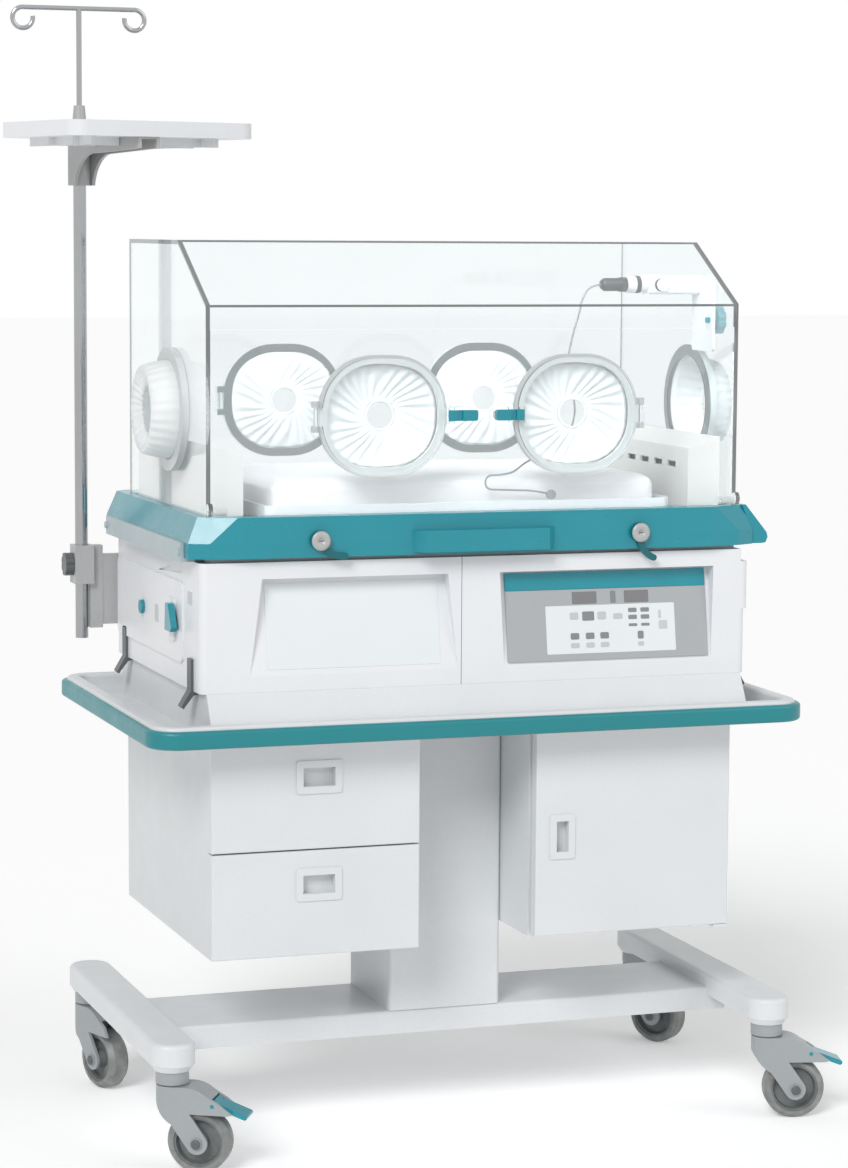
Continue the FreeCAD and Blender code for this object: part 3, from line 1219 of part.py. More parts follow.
def port_frame(x, outward):
    """The raised frame round a hand port, with the two ears of its lid hinge."""
    grow = FRAME_WIDTH
    frame = slab(x - PORT_WIDTH / 2 - grow, x + PORT_WIDTH / 2 + grow, PORT_LEVEL - PORT_HEIGHT / 2 - grow,
                 PORT_LEVEL + PORT_HEIGHT / 2 + grow, 0, FRAME_T, PORT_R + grow)
    frame = facing_front(frame, 0)
    frame = frame.cut(port_hole(x, -FRAME_T - 1, FRAME_T + 2))
    hinge_x, hinge_y = lid_hinge(x)
    ears = []
    for z0 in (PORT_LEVEL - LID_BARREL / 2 - LID_EAR - SEAT, PORT_LEVEL + LID_BARREL / 2 + SEAT):
        ears.append(rod(V(hinge_x, hinge_y, z0), UP, LID_HINGE_R, LID_EAR))
        inner_x = hinge_x - (LID_HINGE_R + 3 if x > 0 else -LID_HINGE_R - 3)
        outer_x = hinge_x + (LID_HINGE_R if x > 0 else -LID_HINGE_R)
        ears.append(box(min(inner_x, outer_x), max(inner_x, outer_x), hinge_y, 0, z0, z0 + LID_EAR))
    ears.append(rod(V(hinge_x, hinge_y, PORT_LEVEL - LID_BARREL / 2 - LID_EAR), UP, LID_PIN_R,
                    LID_BARREL + 2 * LID_EAR))
    frame = fuse([frame] + ears)
    return on_wall(frame, outward)


def lid_hinge(x):
    """The lid hinge's axis beside the port at x, as (x, distance out from the wall)."""
    side = 1 if x > 0 else -1
    return x + side * (PORT_WIDTH / 2 + FRAME_WIDTH + LID_HINGE_R + 1), -FRAME_T - SEAT - LID_T / 2


def on_wall(shape, outward):
    """Move a piece drawn on a wall at y = 0 to the front wall, or turned about to the rear wall."""
    placed = shape.copy()
    if outward < 0:
        placed.translate(V(0, HOOD_FRONT, 0))
        return placed
    placed = placed.mirror(V(0, 0, 0), ALONG_Y)
    placed.translate(V(0, HOOD_REAR, 0))
    return placed


def port_lid(x, outward, with_tab):
    """A clear lid over a hand port, with its hinge barrel outboard and an ear or finger tab inboard."""
    side = 1 if x > 0 else -1
    grow = LID_OVERLAP
    lid = slab(x - PORT_WIDTH / 2 - grow, x + PORT_WIDTH / 2 + grow, PORT_LEVEL - PORT_HEIGHT / 2 - grow,
               PORT_LEVEL + PORT_HEIGHT / 2 + grow, 0, LID_T, PORT_R + grow)
    lid = facing_front(lid, -FRAME_T - SEAT)
    hinge_x, hinge_y = lid_hinge(x)
    barrel = rod(V(hinge_x, hinge_y, PORT_LEVEL - LID_BARREL / 2), UP, LID_HINGE_R, LID_BARREL)
    inner_edge = x + side * (PORT_WIDTH / 2 + grow - 8)
    leaf = box(min(hinge_x, inner_edge), max(hinge_x, inner_edge), hinge_y - LID_T / 2, hinge_y + LID_T / 2,
               PORT_LEVEL - LID_BARREL / 2, PORT_LEVEL + LID_BARREL / 2)
    free = x - side * (PORT_WIDTH / 2 + grow)
    reach = 14 if with_tab else 9
    tab = box(min(free + side * 8, free - side * reach), max(free + side * 8, free - side * reach),
              hinge_y - LID_T / 2, hinge_y + LID_T / 2, PORT_LEVEL - 11, PORT_LEVEL + 11)
    lid = fuse([lid, barrel, leaf, tab])
    lid = lid.cut(rod(V(hinge_x, hinge_y, PORT_LEVEL - LID_BARREL), UP, LID_PIN_R + FIT, 2 * LID_BARREL))
    if with_tab:
        ears = catch_ears(x)
        lid = fuse([lid] + ears)
    return on_wall(lid, outward)


def catch_place(x):
    """The pivot of the lid's press catch, as (x, distance out from the wall)."""
    out = -FRAME_T - SEAT - LID_T - 5
    reach = PORT_WIDTH / 2 + LID_OVERLAP + 8
    return (x - reach + RIGHT_CATCH_SHIFT if x > 0 else x + reach), out


def catch_ears(x):
    pivot_x, pivot_y = catch_place(x)
    ears = []
    face = -FRAME_T - SEAT - LID_T
    for z0 in (PORT_LEVEL - CATCH_TAB_HEIGHT / 2 - 3 - SEAT, PORT_LEVEL + CATCH_TAB_HEIGHT / 2 + SEAT):
        ears.append(box(pivot_x - 4, pivot_x + 4, pivot_y - 3, face + 0.5, z0, z0 + 3))
    ears.append(rod(V(pivot_x, pivot_y, PORT_LEVEL - CATCH_TAB_HEIGHT / 2 - 2), UP, CATCH_TAB_PIN_R,
                    CATCH_TAB_HEIGHT + 4))
    return ears


def port_catch(x):
    """The coloured press catch on a lid: a lever that reaches over to the keeper."""
    side = 1 if x > 0 else -1
    pivot_x, pivot_y = catch_place(x)
    tip = pivot_x - side * (CATCH_TAB_LENGTH - 10)
    face = -FRAME_T - SEAT - LID_T - SEAT
    lever = slab(min(tip, pivot_x), max(tip, pivot_x), PORT_LEVEL - CATCH_TAB_HEIGHT / 2,
                 PORT_LEVEL + CATCH_TAB_HEIGHT / 2, 0, CATCH_TAB_T, 3.0)
    lever = facing_front(lever, face)
    hub = rod(V(pivot_x, pivot_y, PORT_LEVEL - CATCH_TAB_HEIGHT / 2), UP, CATCH_HUB_R, CATCH_TAB_HEIGHT)
    lever = fuse([lever, hub])
    waist = sorted((pivot_x - side * 8, pivot_x - side * 16))
    lever = lever.cut(box(waist[0], waist[1], face - CATCH_TAB_T - 1, face - CATCH_TAB_T + 3,
                          PORT_LEVEL - CATCH_TAB_HEIGHT, PORT_LEVEL + CATCH_TAB_HEIGHT))
    lever = lever.cut(rod(V(pivot_x, pivot_y, PORT_LEVEL - CATCH_TAB_HEIGHT), UP, CATCH_TAB_PIN_R + FIT,
                          2 * CATCH_TAB_HEIGHT))
    return on_wall(lever, -1)


def keeper(x):
    """The small block on the access door that a press catch closes against."""
    side = 1 if x > 0 else -1
    pivot_x, _ = catch_place(x)
    tip = pivot_x - side * (CATCH_TAB_LENGTH - 10)
    x0, x1 = sorted((tip + side * 2, tip + side * 12))
    block = box(x0, x1, -FRAME_T - LID_T, 0, PORT_LEVEL - 5, PORT_LEVEL + 5)
    return on_wall(block, -1)


def door_axis():
    return V(0, HOOD_FRONT - DOOR_HINGE_OUT, HOOD_Z + HINGE_UP)


def access_door():
    """The drop-down front door: a clear sheet with two hand ports and a hinge barrel at each end."""
    half = HOOD_HALF_X - ACRYLIC - SEAT
    sheet = box(-half, half, HOOD_FRONT, DOOR_Y, HOOD_Z + DOOR_LIFT, HOOD_Z + DOOR_TOP)
    axis = door_axis()
    for x in (-PORT_X, PORT_X):
        sheet = sheet.cut(port_hole(x, HOOD_FRONT - 1, ACRYLIC + 2))
    barrels = []
    for x0 in (-half, half - DOOR_HINGE_WIDTH):
        barrel = rod(V(x0, axis.y, axis.z), ALONG_X, DOOR_BARREL_R, DOOR_HINGE_WIDTH)
        leaf = box(x0, x0 + DOOR_HINGE_WIDTH, axis.y, HOOD_FRONT + 1, axis.z, axis.z + DOOR_BARREL_R)
        bore = rod(V(x0 - 1, axis.y, axis.z), ALONG_X, DOOR_PIN_R + FIT, DOOR_HINGE_WIDTH + 2)
        barrels.append(barrel.fuse(leaf).removeSplitter().cut(bore))
    sheet = fuse([sheet] + barrels)
    frames = [port_frame(x, -1) for x in (-PORT_X, PORT_X)]
    keepers = [keeper(x) for x in (-PORT_X, PORT_X)]
    return Part.makeCompound([sheet] + frames + keepers)


def hood_walls():
    """The rear sheet with two hand ports, and the two end sheets with their round sleeve ports."""
    half = HOOD_HALF_X - ACRYLIC
    inner_top = hood_outline(ACRYLIC)[3][1]
    rear = box(-half, half, HOOD_REAR - ACRYLIC, HOOD_REAR, HOOD_Z, inner_top)
    for x in (-REAR_PORT_X, REAR_PORT_X):
        rear = rear.cut(port_hole(x, HOOD_REAR - ACRYLIC - 1, ACRYLIC + 2))
    leaves = []
    level = HOOD_Z + HINGE_UP
    for x in (-HOOD_HINGE_X, HOOD_HINGE_X):
        x0 = x - HOOD_HINGE_WIDTH / 2
        barrel = rod(V(x0, HOOD_HINGE_Y, level), ALONG_X, HINGE_R, HOOD_HINGE_WIDTH)
        leaf = box(x0, x0 + HOOD_HINGE_WIDTH, HOOD_REAR, HOOD_REAR + 4, level, level + 24)
        leaf = leaf.fuse(box(x0, x0 + HOOD_HINGE_WIDTH, HOOD_REAR, HOOD_HINGE_Y, level, level + 5))
        bore = rod(V(x0 - 1, HOOD_HINGE_Y, level), ALONG_X, HINGE_PIN_R + FIT, HOOD_HINGE_WIDTH + 2)
        leaves.append(barrel.fuse(leaf).removeSplitter().cut(bore))
    frames = [port_frame(x, 1) for x in (-REAR_PORT_X, REAR_PORT_X)]
    ends = []
    profile = polygon([V(y, z, 0) for y, z in hood_outline(0)]).extrude(V(0, 0, ACRYLIC))
    for side in (-1, 1):
        x0 = -HOOD_HALF_X if side < 0 else half
        sheet = facing_side(profile, x0)
        axis = door_axis()
        pin_x = x0 if side < 0 else x0 - DOOR_HINGE_WIDTH
        ear = rod(V(x0, axis.y, axis.z + 3), ALONG_X, DOOR_EAR_R, ACRYLIC)
        pin = rod(V(pin_x, axis.y, axis.z), ALONG_X, DOOR_PIN_R, ACRYLIC + DOOR_HINGE_WIDTH)
        sheet = fuse([sheet, ear, pin])
        hole = rod(V(x0 - 1, END_PORT_Y, HOOD_Z + END_PORT_Z), ALONG_X, END_PORT_R, ACRYLIC + 2)
        sheet = sheet.cut(hole)
        if side > 0:
            sheet = sheet.cut(rod(V(x0 - 1, SENSOR_KNOB_Y, HOOD_Z + SENSOR_KNOB_Z), ALONG_X, SENSOR_STEM_R + FIT,
                                  ACRYLIC + 2))
        ring_x = -HOOD_HALF_X - END_RING_T if side < 0 else HOOD_HALF_X
        ring = rod(V(ring_x, END_PORT_Y, HOOD_Z + END_PORT_Z), ALONG_X, END_RING_R, END_RING_T)
        ring = ring.cut(rod(V(ring_x - 1, END_PORT_Y, HOOD_Z + END_PORT_Z), ALONG_X, END_PORT_R, END_RING_T + 2))
        ends += [sheet, ring]
    return Part.makeCompound([rear] + leaves + frames + ends)


def port_cuff(x, outward):
    """The soft cuff behind a hand port, plain, with its arm hole."""
    cuff = slab(x - PORT_WIDTH / 2 + SEAT, x + PORT_WIDTH / 2 - SEAT, PORT_LEVEL - PORT_HEIGHT / 2 + SEAT,
                PORT_LEVEL + PORT_HEIGHT / 2 - SEAT, 0, CUFF_DEPTH, PORT_R - SEAT)
    cuff = facing_front(cuff, CUFF_DEPTH)
    cuff = cuff.cut(rod(V(x, -1, PORT_LEVEL), ALONG_Y, CUFF_HOLE_R, CUFF_DEPTH + 2))
    return on_wall(cuff, outward)


def sleeve(side):
    """The soft sleeve of an end port, a hollow cone that stands out from the end wall."""
    wide = END_PORT_R - SEAT
    points = [(wide, 0), (SLEEVE_RIM_R, SLEEVE_OUT + END_RING_T), (SLEEVE_RIM_R - SLEEVE_T, SLEEVE_OUT + END_RING_T),
              (wide - SLEEVE_T, 0)]
    cone = revolved(points, UP)
    cone.rotate(V(0, 0, 0), ALONG_Y, side * 90)
    cone.translate(V(side * HOOD_HALF_X, END_PORT_Y, HOOD_Z + END_PORT_Z))
    return cone


def door_cuffs():
    return Part.makeCompound([port_cuff(x, -1) for x in (-PORT_X, PORT_X)])


def hood_cuffs():
    cuffs = [port_cuff(x, 1) for x in (-REAR_PORT_X, REAR_PORT_X)]
    return Part.makeCompound(cuffs + [sleeve(side) for side in (-1, 1)])


# Bed


def mattress_tray():
    """The shallow bed tray on two cross ribs."""
    foot = TRIM_Z + TRAY_LIFT
    wall = TRAY_WALL
    tray = slab(-TRAY_HALF_X, TRAY_HALF_X, TRAY_FRONT, TRAY_REAR, foot, foot + TRAY_RIM, 14.0)
    tray = tray.cut(slab(-TRAY_HALF_X + wall, TRAY_HALF_X - wall, TRAY_FRONT + wall, TRAY_REAR - wall, foot + wall,
                         foot + TRAY_RIM + 1, 11.0))
    ribs = [box(x - TRAY_RIB_T / 2, x + TRAY_RIB_T / 2, TRAY_FRONT + 30, TRAY_REAR - 30, TRIM_Z, foot + 1)
            for x in (-TRAY_HALF_X + 50, TRAY_HALF_X - 50)]
    return fuse([tray] + ribs)


def mattress():
    inset = TRAY_WALL + MATTRESS_GAP
    foot = TRIM_Z + TRAY_LIFT + TRAY_WALL + SEAT
    pad = slab(-TRAY_HALF_X + inset, TRAY_HALF_X - inset, TRAY_FRONT + inset, TRAY_REAR - inset, foot,
               foot + MATTRESS_T, 12.0)
    return round_edges(pad, 8.0, level_edges(pad, foot + MATTRESS_T))


def air_ducts():
    """The covers over the air slots at both ends, each open below and with a sloped top."""
    ducts = []
    for inset, low in ((0.0, TRIM_Z), (DUCT_WALL, TRIM_Z - 1)):
        profile = polygon([V(-DUCT_OUTER_X + inset, low, 0), V(-DUCT_INNER_X - inset, low, 0),
                           V(-DUCT_INNER_X - inset, TRIM_Z + DUCT_LOW - inset, 0),
                           V(-DUCT_OUTER_X + inset, TRIM_Z + DUCT_HIGH - inset, 0)])
        length = DUCT_REAR - DUCT_FRONT - 2 * inset
        ducts.append(facing_front(profile.extrude(V(0, 0, length)), DUCT_REAR - inset))
    left = ducts[0].cut(ducts[1])
    low = TRIM_Z + DUCT_SLOT_Z
    for index in range(DUCT_SLOTS):
        y0 = DUCT_FRONT + DUCT_SLOT_START + index * DUCT_SLOT_PITCH
        left = left.cut(box(-DUCT_INNER_X - DUCT_WALL - 1, -DUCT_INNER_X + 1, y0, y0 + DUCT_SLOT_LENGTH,
                            low, low + DUCT_SLOT_HEIGHT))
    return Part.makeCompound([left, mirrored(left)])


# Sensor and probe


def sensor_module():
    """The air sensor inside the right end: arm, wall plate, socket and the probe's plug."""
    wall = HOOD_HALF_X - ACRYLIC
    level = HOOD_Z + SENSOR_Z
    half = SENSOR_SIZE / 2
    knob_z = HOOD_Z + SENSOR_KNOB_Z
    arm = slab(SENSOR_Y - half, SENSOR_Y + half, level - half, level + half, 0, SENSOR_LENGTH, 5.0)
    arm = facing_side(arm, wall - SENSOR_LENGTH)
    plate = slab(SENSOR_KNOB_Y - 12, SENSOR_Y + half, knob_z - 45, level + half - 8, 0, SENSOR_PLATE_T, 6.0)
    plate = facing_side(plate, wall - SENSOR_PLATE_T)
    plate = plate.cut(rod(V(wall - 20, SENSOR_KNOB_Y, knob_z), ALONG_X, SENSOR_STEM_R + FIT, 30))
    dial = rod(V(wall - SENSOR_LENGTH + 20, SENSOR_Y - half - 4, level), ALONG_Y, 9.0, 6.0)
    socket = rod(V(wall - SENSOR_LENGTH - SOCKET_LENGTH, SENSOR_Y, level), ALONG_X, SOCKET_R, SOCKET_LENGTH + 2)
    plug_x = wall - SENSOR_LENGTH - SOCKET_LENGTH - PLUG_LENGTH
    plug = Part.makeCone(CABLE_R + 2, PLUG_R, PLUG_LENGTH * 0.6, V(plug_x, SENSOR_Y, level), ALONG_X)
    plug = plug.fuse(rod(V(plug_x + PLUG_LENGTH * 0.6, SENSOR_Y, level), ALONG_X, PLUG_R, PLUG_LENGTH * 0.4))
    return Part.makeCompound([fuse([arm, plate, dial, socket]), plug])


def sensor_knob():
    knob_z = HOOD_Z + SENSOR_KNOB_Z
    grip = lobed_knob(SENSOR_KNOB_R, SENSOR_KNOB_T)
    grip = facing_x(grip, V(HOOD_HALF_X + SEAT, SENSOR_KNOB_Y, knob_z))
    length = ACRYLIC + SENSOR_PLATE_T + SEAT + 6
    stem = rod(V(HOOD_HALF_X + SEAT + 1 - length, SENSOR_KNOB_Y, knob_z), ALONG_X, SENSOR_STEM_R, length)
    return fuse([grip, stem])


def lobed_knob(radius, thickness):
    """A round grip with shallow flutes."""
    knob = Part.makeCylinder(radius, thickness)
    for index in range(LOBES):
        angle = 2 * math.pi * index / LOBES
        centre = V((radius + 3) * math.cos(angle), (radius + 3) * math.sin(angle), -1)
        knob = knob.cut(Part.makeCylinder(5.0, thickness + 2, centre))
    return knob


def facing_x(shape, place):
    turned = shape.copy()
    turned.rotate(V(0, 0, 0), ALONG_Y, 90)
    turned.translate(place)
    return turned


def cord_path(points):
    """Straight runs joined by tangent arcs, each as large as its two runs allow."""
    edges = []
    start = points[0]
    for index in range(1, len(points) - 1):
        before, corner, after = points[index - 1], points[index], points[index + 1]
        u = (corner - before).normalize()
        w = (after - corner).normalize()
        turn = u.getAngle(w)
        shorter = min((corner - before).Length, (after - corner).Length)
        trim = 0.45 * shorter
        radius = trim / math.tan(turn / 2)
        arc_start = corner - u * trim
        arc_end = corner + w * trim
        middle = corner + (w - u).normalize() * (radius / math.cos(turn / 2) - radius)
        edges.append(Part.makeLine(start, arc_start))
        edges.append(Part.Arc(arc_start, middle, arc_end).toShape())
        start = arc_end
        print("cable bend radius at point %d: %.1f mm" % (index, radius))
    edges.append(Part.makeLine(start, points[-1]))
    return Part.Wire(edges)


def probe_cable():
    path = cord_path(CABLE_ROUTE)
    start = CABLE_ROUTE[0]
    section = Part.Wire(Part.makeCircle(CABLE_R, start, CABLE_ROUTE[1] - start))
    tube = path.makePipeShell([section], True, True)
    print("cable: length %.1f mm, volume %.1f of %.1f mm3" % (
        path.Length, tube.Volume, math.pi * CABLE_R ** 2 * path.Length))
    return tube


def skin_probe():
    """The flat probe head in front of the mattress, at the cable's end."""
    end = CABLE_ROUTE[-1]
    return rod(end + V(PROBE_R, -PROBE_T / 2, -PROBE_R * 0.3), ALONG_Y, PROBE_R, PROBE_T)


# Pole


def pole_bracket():
    """The bracket behind the housing: plate, upright rail and the clamp that holds the pole."""
    rail_x = POLE_X + POLE_R + 1.5
    front = POLE_Y - RAIL_DEPTH / 2
    rail = box(rail_x, rail_x + RAIL_WIDTH, front, front + RAIL_DEPTH, RAIL_FOOT, RAIL_FOOT + RAIL_HEIGHT)
    plate = box(rail_x + RAIL_WIDTH - 1, -HOUSE_HALF_X + BRACKET_REACH, HOUSE_REAR, HOUSE_REAR + BRACKET_T,
                RAIL_FOOT + 5, RAIL_FOOT + 5 + BRACKET_HEIGHT)
    outer = POLE_R + CLAMP_WALL
    low = CLAMP_Z - CLAMP_HEIGHT / 2
    jaw = box(POLE_X - outer + 4, rail_x + 4, POLE_Y - outer, POLE_Y + outer, low, low + CLAMP_HEIGHT)
    body = fuse([rail, plate, jaw])
    body = body.cut(rod(V(POLE_X, POLE_Y, low - 1), UP, POLE_R + FIT, CLAMP_HEIGHT + 2))
    return body.cut(rod(V(POLE_X - outer, POLE_Y, CLAMP_Z), ALONG_X, CLAMP_SCREW_R + FIT, outer))


def clamp_knob():
    """The clamp's fluted hand screw."""
    face = POLE_X - POLE_R - CLAMP_WALL + 4
    grip = lobed_knob(CLAMP_KNOB_R, CLAMP_KNOB_T)
    grip = facing_x(grip, V(face - SEAT - CLAMP_KNOB_T, POLE_Y, CLAMP_Z))
    screw = rod(V(face - SEAT - 1, POLE_Y, CLAMP_Z), ALONG_X, CLAMP_SCREW_R, CLAMP_WALL - 4)
    return fuse([grip, screw])


def pole():
    tube = rod(V(POLE_X, POLE_Y, POLE_FOOT), UP, POLE_R, POLE_LENGTH)
    return tube.cut(rod(V(POLE_X, POLE_Y, POLE_FOOT - 1), UP, POLE_R - POLE_WALL, POLE_LENGTH + 2))


def beside_pole(shape):
    """Turn a piece drawn about the pole, with its own front along -Y, to the shelf's direction."""
    turned = shape.copy()
    turned.rotate(V(0, 0, 0), UP, SHELF_TURN)
    turned.translate(V(POLE_X, POLE_Y, 0))
    return turned


def tray_arm():
    """The arm on the pole: a socket, two curved cheeks, a top web and the drip rod's collar."""
    socket = rod(V(0, 0, ARM_FOOT), UP, ARM_WIDTH / 2, ARM_TOP - ARM_FOOT)
    half = ARM_WIDTH / 2
    tip_foot = ARM_TOP - ARM_TIP_DEPTH
    side = Part.Wire([
        Part.makeLine(V(0, 0, ARM_FOOT), V(0, -16, ARM_FOOT)),
        Part.Arc(V(0, -16, ARM_FOOT), V(0, -31, tip_foot - 16), V(0, -ARM_NECK, tip_foot)).toShape(),
        Part.makeLine(V(0, -ARM_NECK, tip_foot), V(0, -ARM_LENGTH, tip_foot + 6)),
        Part.makeLine(V(0, -ARM_LENGTH, tip_foot + 6), V(0, -ARM_LENGTH, ARM_TOP)),
        Part.makeLine(V(0, -ARM_LENGTH, ARM_TOP), V(0, 0, ARM_TOP)),
        Part.makeLine(V(0, 0, ARM_TOP), V(0, 0, ARM_FOOT))])
    cheek = Part.Face(side).extrude(V(ARM_CHEEK, 0, 0))
    right = cheek.copy()
    right.translate(V(half - ARM_CHEEK, 0, 0))
    left = cheek.copy()
    left.translate(V(-half, 0, 0))
    web = box(-half, half, -ARM_LENGTH, 0, ARM_TOP - ARM_WEB, ARM_TOP)
    collar = Part.makeCone(COLLAR_R, COLLAR_TOP_R, COLLAR_HEIGHT, V(0, 0, ARM_TOP), UP)
    arm = fuse([socket, left, right, web, collar])
    pole_top = POLE_FOOT + POLE_LENGTH
    arm = arm.cut(rod(V(0, 0, ARM_FOOT - 1), UP, POLE_R + FIT, pole_top - ARM_FOOT + 1 + SEAT))
    return beside_pole(arm.cut(rod(V(0, 0, ARM_FOOT), UP, ROD_R + FIT, ARM_TOP - ARM_FOOT + COLLAR_HEIGHT + 1)))


def instrument_tray():
    """The instrument tray: a floor with a raised rim, a hole for the drip rod's collar, ribs below."""
    x0, x1 = -SHELF_POLE_A, SHELF_WIDTH - SHELF_POLE_A
    y0, y1 = -SHELF_POLE_B, SHELF_DEPTH - SHELF_POLE_B
    wall = SHELF_WALL
    tray = slab(x0, x1, y0, y1, ARM_TOP, ARM_TOP + SHELF_RIM, SHELF_CORNER_R)
    tray = tray.cut(slab(x0 + wall, x1 - wall, y0 + wall, y1 - wall, ARM_TOP + SHELF_FLOOR,
                         ARM_TOP + SHELF_RIM + 1, SHELF_CORNER_R - wall))
    ribs = []
    half = ARM_WIDTH / 2 + 1
    low = ARM_TOP - SHELF_RIB_HEIGHT
    for y in (y0 + along for along in SHELF_RIB_Y):
        ribs.append(box(x0 + SHELF_RIB_END, -half, y, y + SHELF_RIB_T, low, ARM_TOP + 1))
        ribs.append(box(half, x1 - SHELF_RIB_END, y, y + SHELF_RIB_T, low, ARM_TOP + 1))
    for x in (x0 + along for along in SHELF_RIB_X):
        ribs.append(box(x, x + SHELF_RIB_T, y0 + SHELF_CORNER_R, y1 - SHELF_CORNER_R, low, ARM_TOP + 1))
    tray = fuse([tray] + ribs)
    return beside_pole(tray.cut(rod(V(0, 0, ARM_TOP - 1), UP, COLLAR_R + 0.5, SHELF_FLOOR + 2)))


def iv_rod():
    """The drip rod: a thin rod, and a cross bar that ends in two open loops."""
    foot = POLE_FOOT + POLE_LENGTH - ROD_SPIGOT
    spigot = rod(V(POLE_X, POLE_Y, foot), UP, ROD_R, ROD_TOP - foot)
    centre_z = ROD_TOP - HOOK_R

    def on_loop(side, degrees):
        angle = math.radians(degrees)
        x = POLE_X + side * (HOOK_HALF_SPAN + HOOK_R * math.sin(angle))
        return V(x, POLE_Y, centre_z + HOOK_R * math.cos(angle))

    edges = []
    for side in (-1, 1):
        marks = [HOOK_TURN, HOOK_TURN * 0.75, HOOK_TURN * 0.5, HOOK_TURN * 0.25, 0]
        if side > 0:
            edges.append(Part.makeLine(on_loop(-1, 0), on_loop(1, 0)))
            marks.reverse()
        edges.append(Part.Arc(*[on_loop(side, mark) for mark in marks[:3]]).toShape())
        edges.append(Part.Arc(*[on_loop(side, mark) for mark in marks[2:]]).toShape())
    path = Part.Wire(edges)
    start = on_loop(-1, HOOK_TURN)
    tangent = edges[0].tangentAt(edges[0].FirstParameter)
    section = Part.Wire(Part.makeCircle(HOOK_WIRE_R, start, tangent))
    bar = path.makePipeShell([section], True, True)
    return fuse([spigot, bar])


def all_parts():
    ring = trim_ring()
    parts = {}
    for corner in CASTER_YAW:
        parts["caster_%s_fork" % corner] = placed_caster(caster_fork(corner[0] == "f"), corner)
        parts["caster_%s_wheel" % corner] = placed_caster(caster_wheel(), corner)
    parts.update({
        "brake_pedal_left": placed_caster(brake_pedal(), "fl"),
        "brake_pedal_right": placed_caster(brake_pedal(), "fr"),
        "base_frame": base_frame(),
        "column": column(),
        "deck": deck(),
        "bumper_strip": bumper_strip(),
        "plinth": plinth(),
        "drawer_cabinet": drawer_cabinet(),
        "upper_drawer": drawer("upper"),
        "lower_drawer": drawer("lower"),
        "door_cabinet": door_cabinet(),
        "cabinet_door": cabinet_door(),
        "base_housing": base_housing(),
        "front_covers": front_covers(),
        "control_panel": control_panel(),
        "side_cover": side_cover(),
        "side_button": side_button(),
        "side_lever": side_lever(),
        "hold_down_clips": hold_down_clips(),
        "fan_motor": fan_motor(),
        "fan_impeller": fan_impeller(),
        "heater": heater(),
        "water_tank": water_tank(),
        "chassis_floor": chassis_floor(),
        "trim_front": trim_front(ring),
        "trim_surround": trim_surround(ring),
        "frame_catch_left": frame_catch("left"),
        "frame_catch_right": frame_catch("right"),
        "hood_top": hood_top(),
        "hood_walls": hood_walls(),
        "access_door": access_door(),
        "front_port_lid_left": port_lid(-PORT_X, -1, True),
        "front_port_lid_right": port_lid(PORT_X, -1, True),
        "rear_port_lid_left": port_lid(-REAR_PORT_X, 1, False),
        "rear_port_lid_right": port_lid(REAR_PORT_X, 1, False),
        "port_catch_left": port_catch(-PORT_X),
        "port_catch_right": port_catch(PORT_X),
        "hood_cuffs": hood_cuffs(),
        "door_cuffs": door_cuffs(),
        "mattress_tray": mattress_tray(),
        "mattress": mattress(),
        "air_ducts": air_ducts(),
        "sensor_module": sensor_module(),
        "sensor_knob": sensor_knob(),
        "probe_cable": probe_cable(),
        "skin_probe": skin_probe(),
        "pole_bracket": pole_bracket(),
        "clamp_knob": clamp_knob(),
        "pole": pole(),
        "tray_arm": tray_arm(),
        "instrument_tray": instrument_tray(),
        "iv_rod": iv_rod()})
    return parts


def main():
    os.makedirs("parts", exist_ok=True)
    for name, shape in all_parts().items():
        for solid in shape.Solids:
            if not solid.isValid() or solid.Volume <= 0:
                print("check solid of", name)
        shape.exportStep("parts/%s.step" % name)


main()
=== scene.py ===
import json
import math

import bmesh
import bpy
from mathutils import Matrix, Vector, noise


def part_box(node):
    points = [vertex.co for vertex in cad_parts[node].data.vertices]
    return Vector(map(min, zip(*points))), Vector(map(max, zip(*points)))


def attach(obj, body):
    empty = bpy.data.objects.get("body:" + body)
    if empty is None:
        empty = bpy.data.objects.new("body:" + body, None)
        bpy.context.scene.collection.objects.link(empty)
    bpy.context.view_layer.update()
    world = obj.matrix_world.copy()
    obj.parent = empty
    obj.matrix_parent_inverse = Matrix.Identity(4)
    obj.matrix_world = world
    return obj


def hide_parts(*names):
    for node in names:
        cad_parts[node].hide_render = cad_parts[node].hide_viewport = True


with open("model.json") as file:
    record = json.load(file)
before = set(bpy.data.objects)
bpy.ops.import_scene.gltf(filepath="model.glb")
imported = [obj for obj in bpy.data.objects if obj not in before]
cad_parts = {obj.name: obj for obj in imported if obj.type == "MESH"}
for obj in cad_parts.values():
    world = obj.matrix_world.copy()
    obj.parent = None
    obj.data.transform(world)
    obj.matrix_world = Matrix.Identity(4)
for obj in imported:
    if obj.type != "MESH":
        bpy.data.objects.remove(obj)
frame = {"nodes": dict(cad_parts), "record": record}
bpy.context.scene.view_settings.view_transform = "Standard"
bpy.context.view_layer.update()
NODES = frame["nodes"]
JOINTS = {joint["name"]: joint for joint in frame["record"]["behaviour"]["joints"]}
CORNERS = ("fl", "fr", "rl", "rr")
MM = 0.001

# Camera: where it stood, how it was turned, and its focal length as the photograph's pixels give it
CAMERA_PLACE = (-1.53838, -4.46101, 1.28515)
CAMERA_YAW = 0.33169
CAMERA_PITCH = 0.10934
CAMERA_ROLL = 0.00633
FOCAL_PIXELS = 3254.2
PHOTO_WIDTH = 848
SENSOR_MM = 36.0

# Lamps: the direction each light comes from, its strength and its softness in degrees
KEY = ((-0.52, -0.62, 0.59), 1.75, 24.0)
FILL = ((0.62, -0.55, 0.45), 0.55, 40.0)
AMBIENT = 0.38
FLOOR_HALF = 40.0
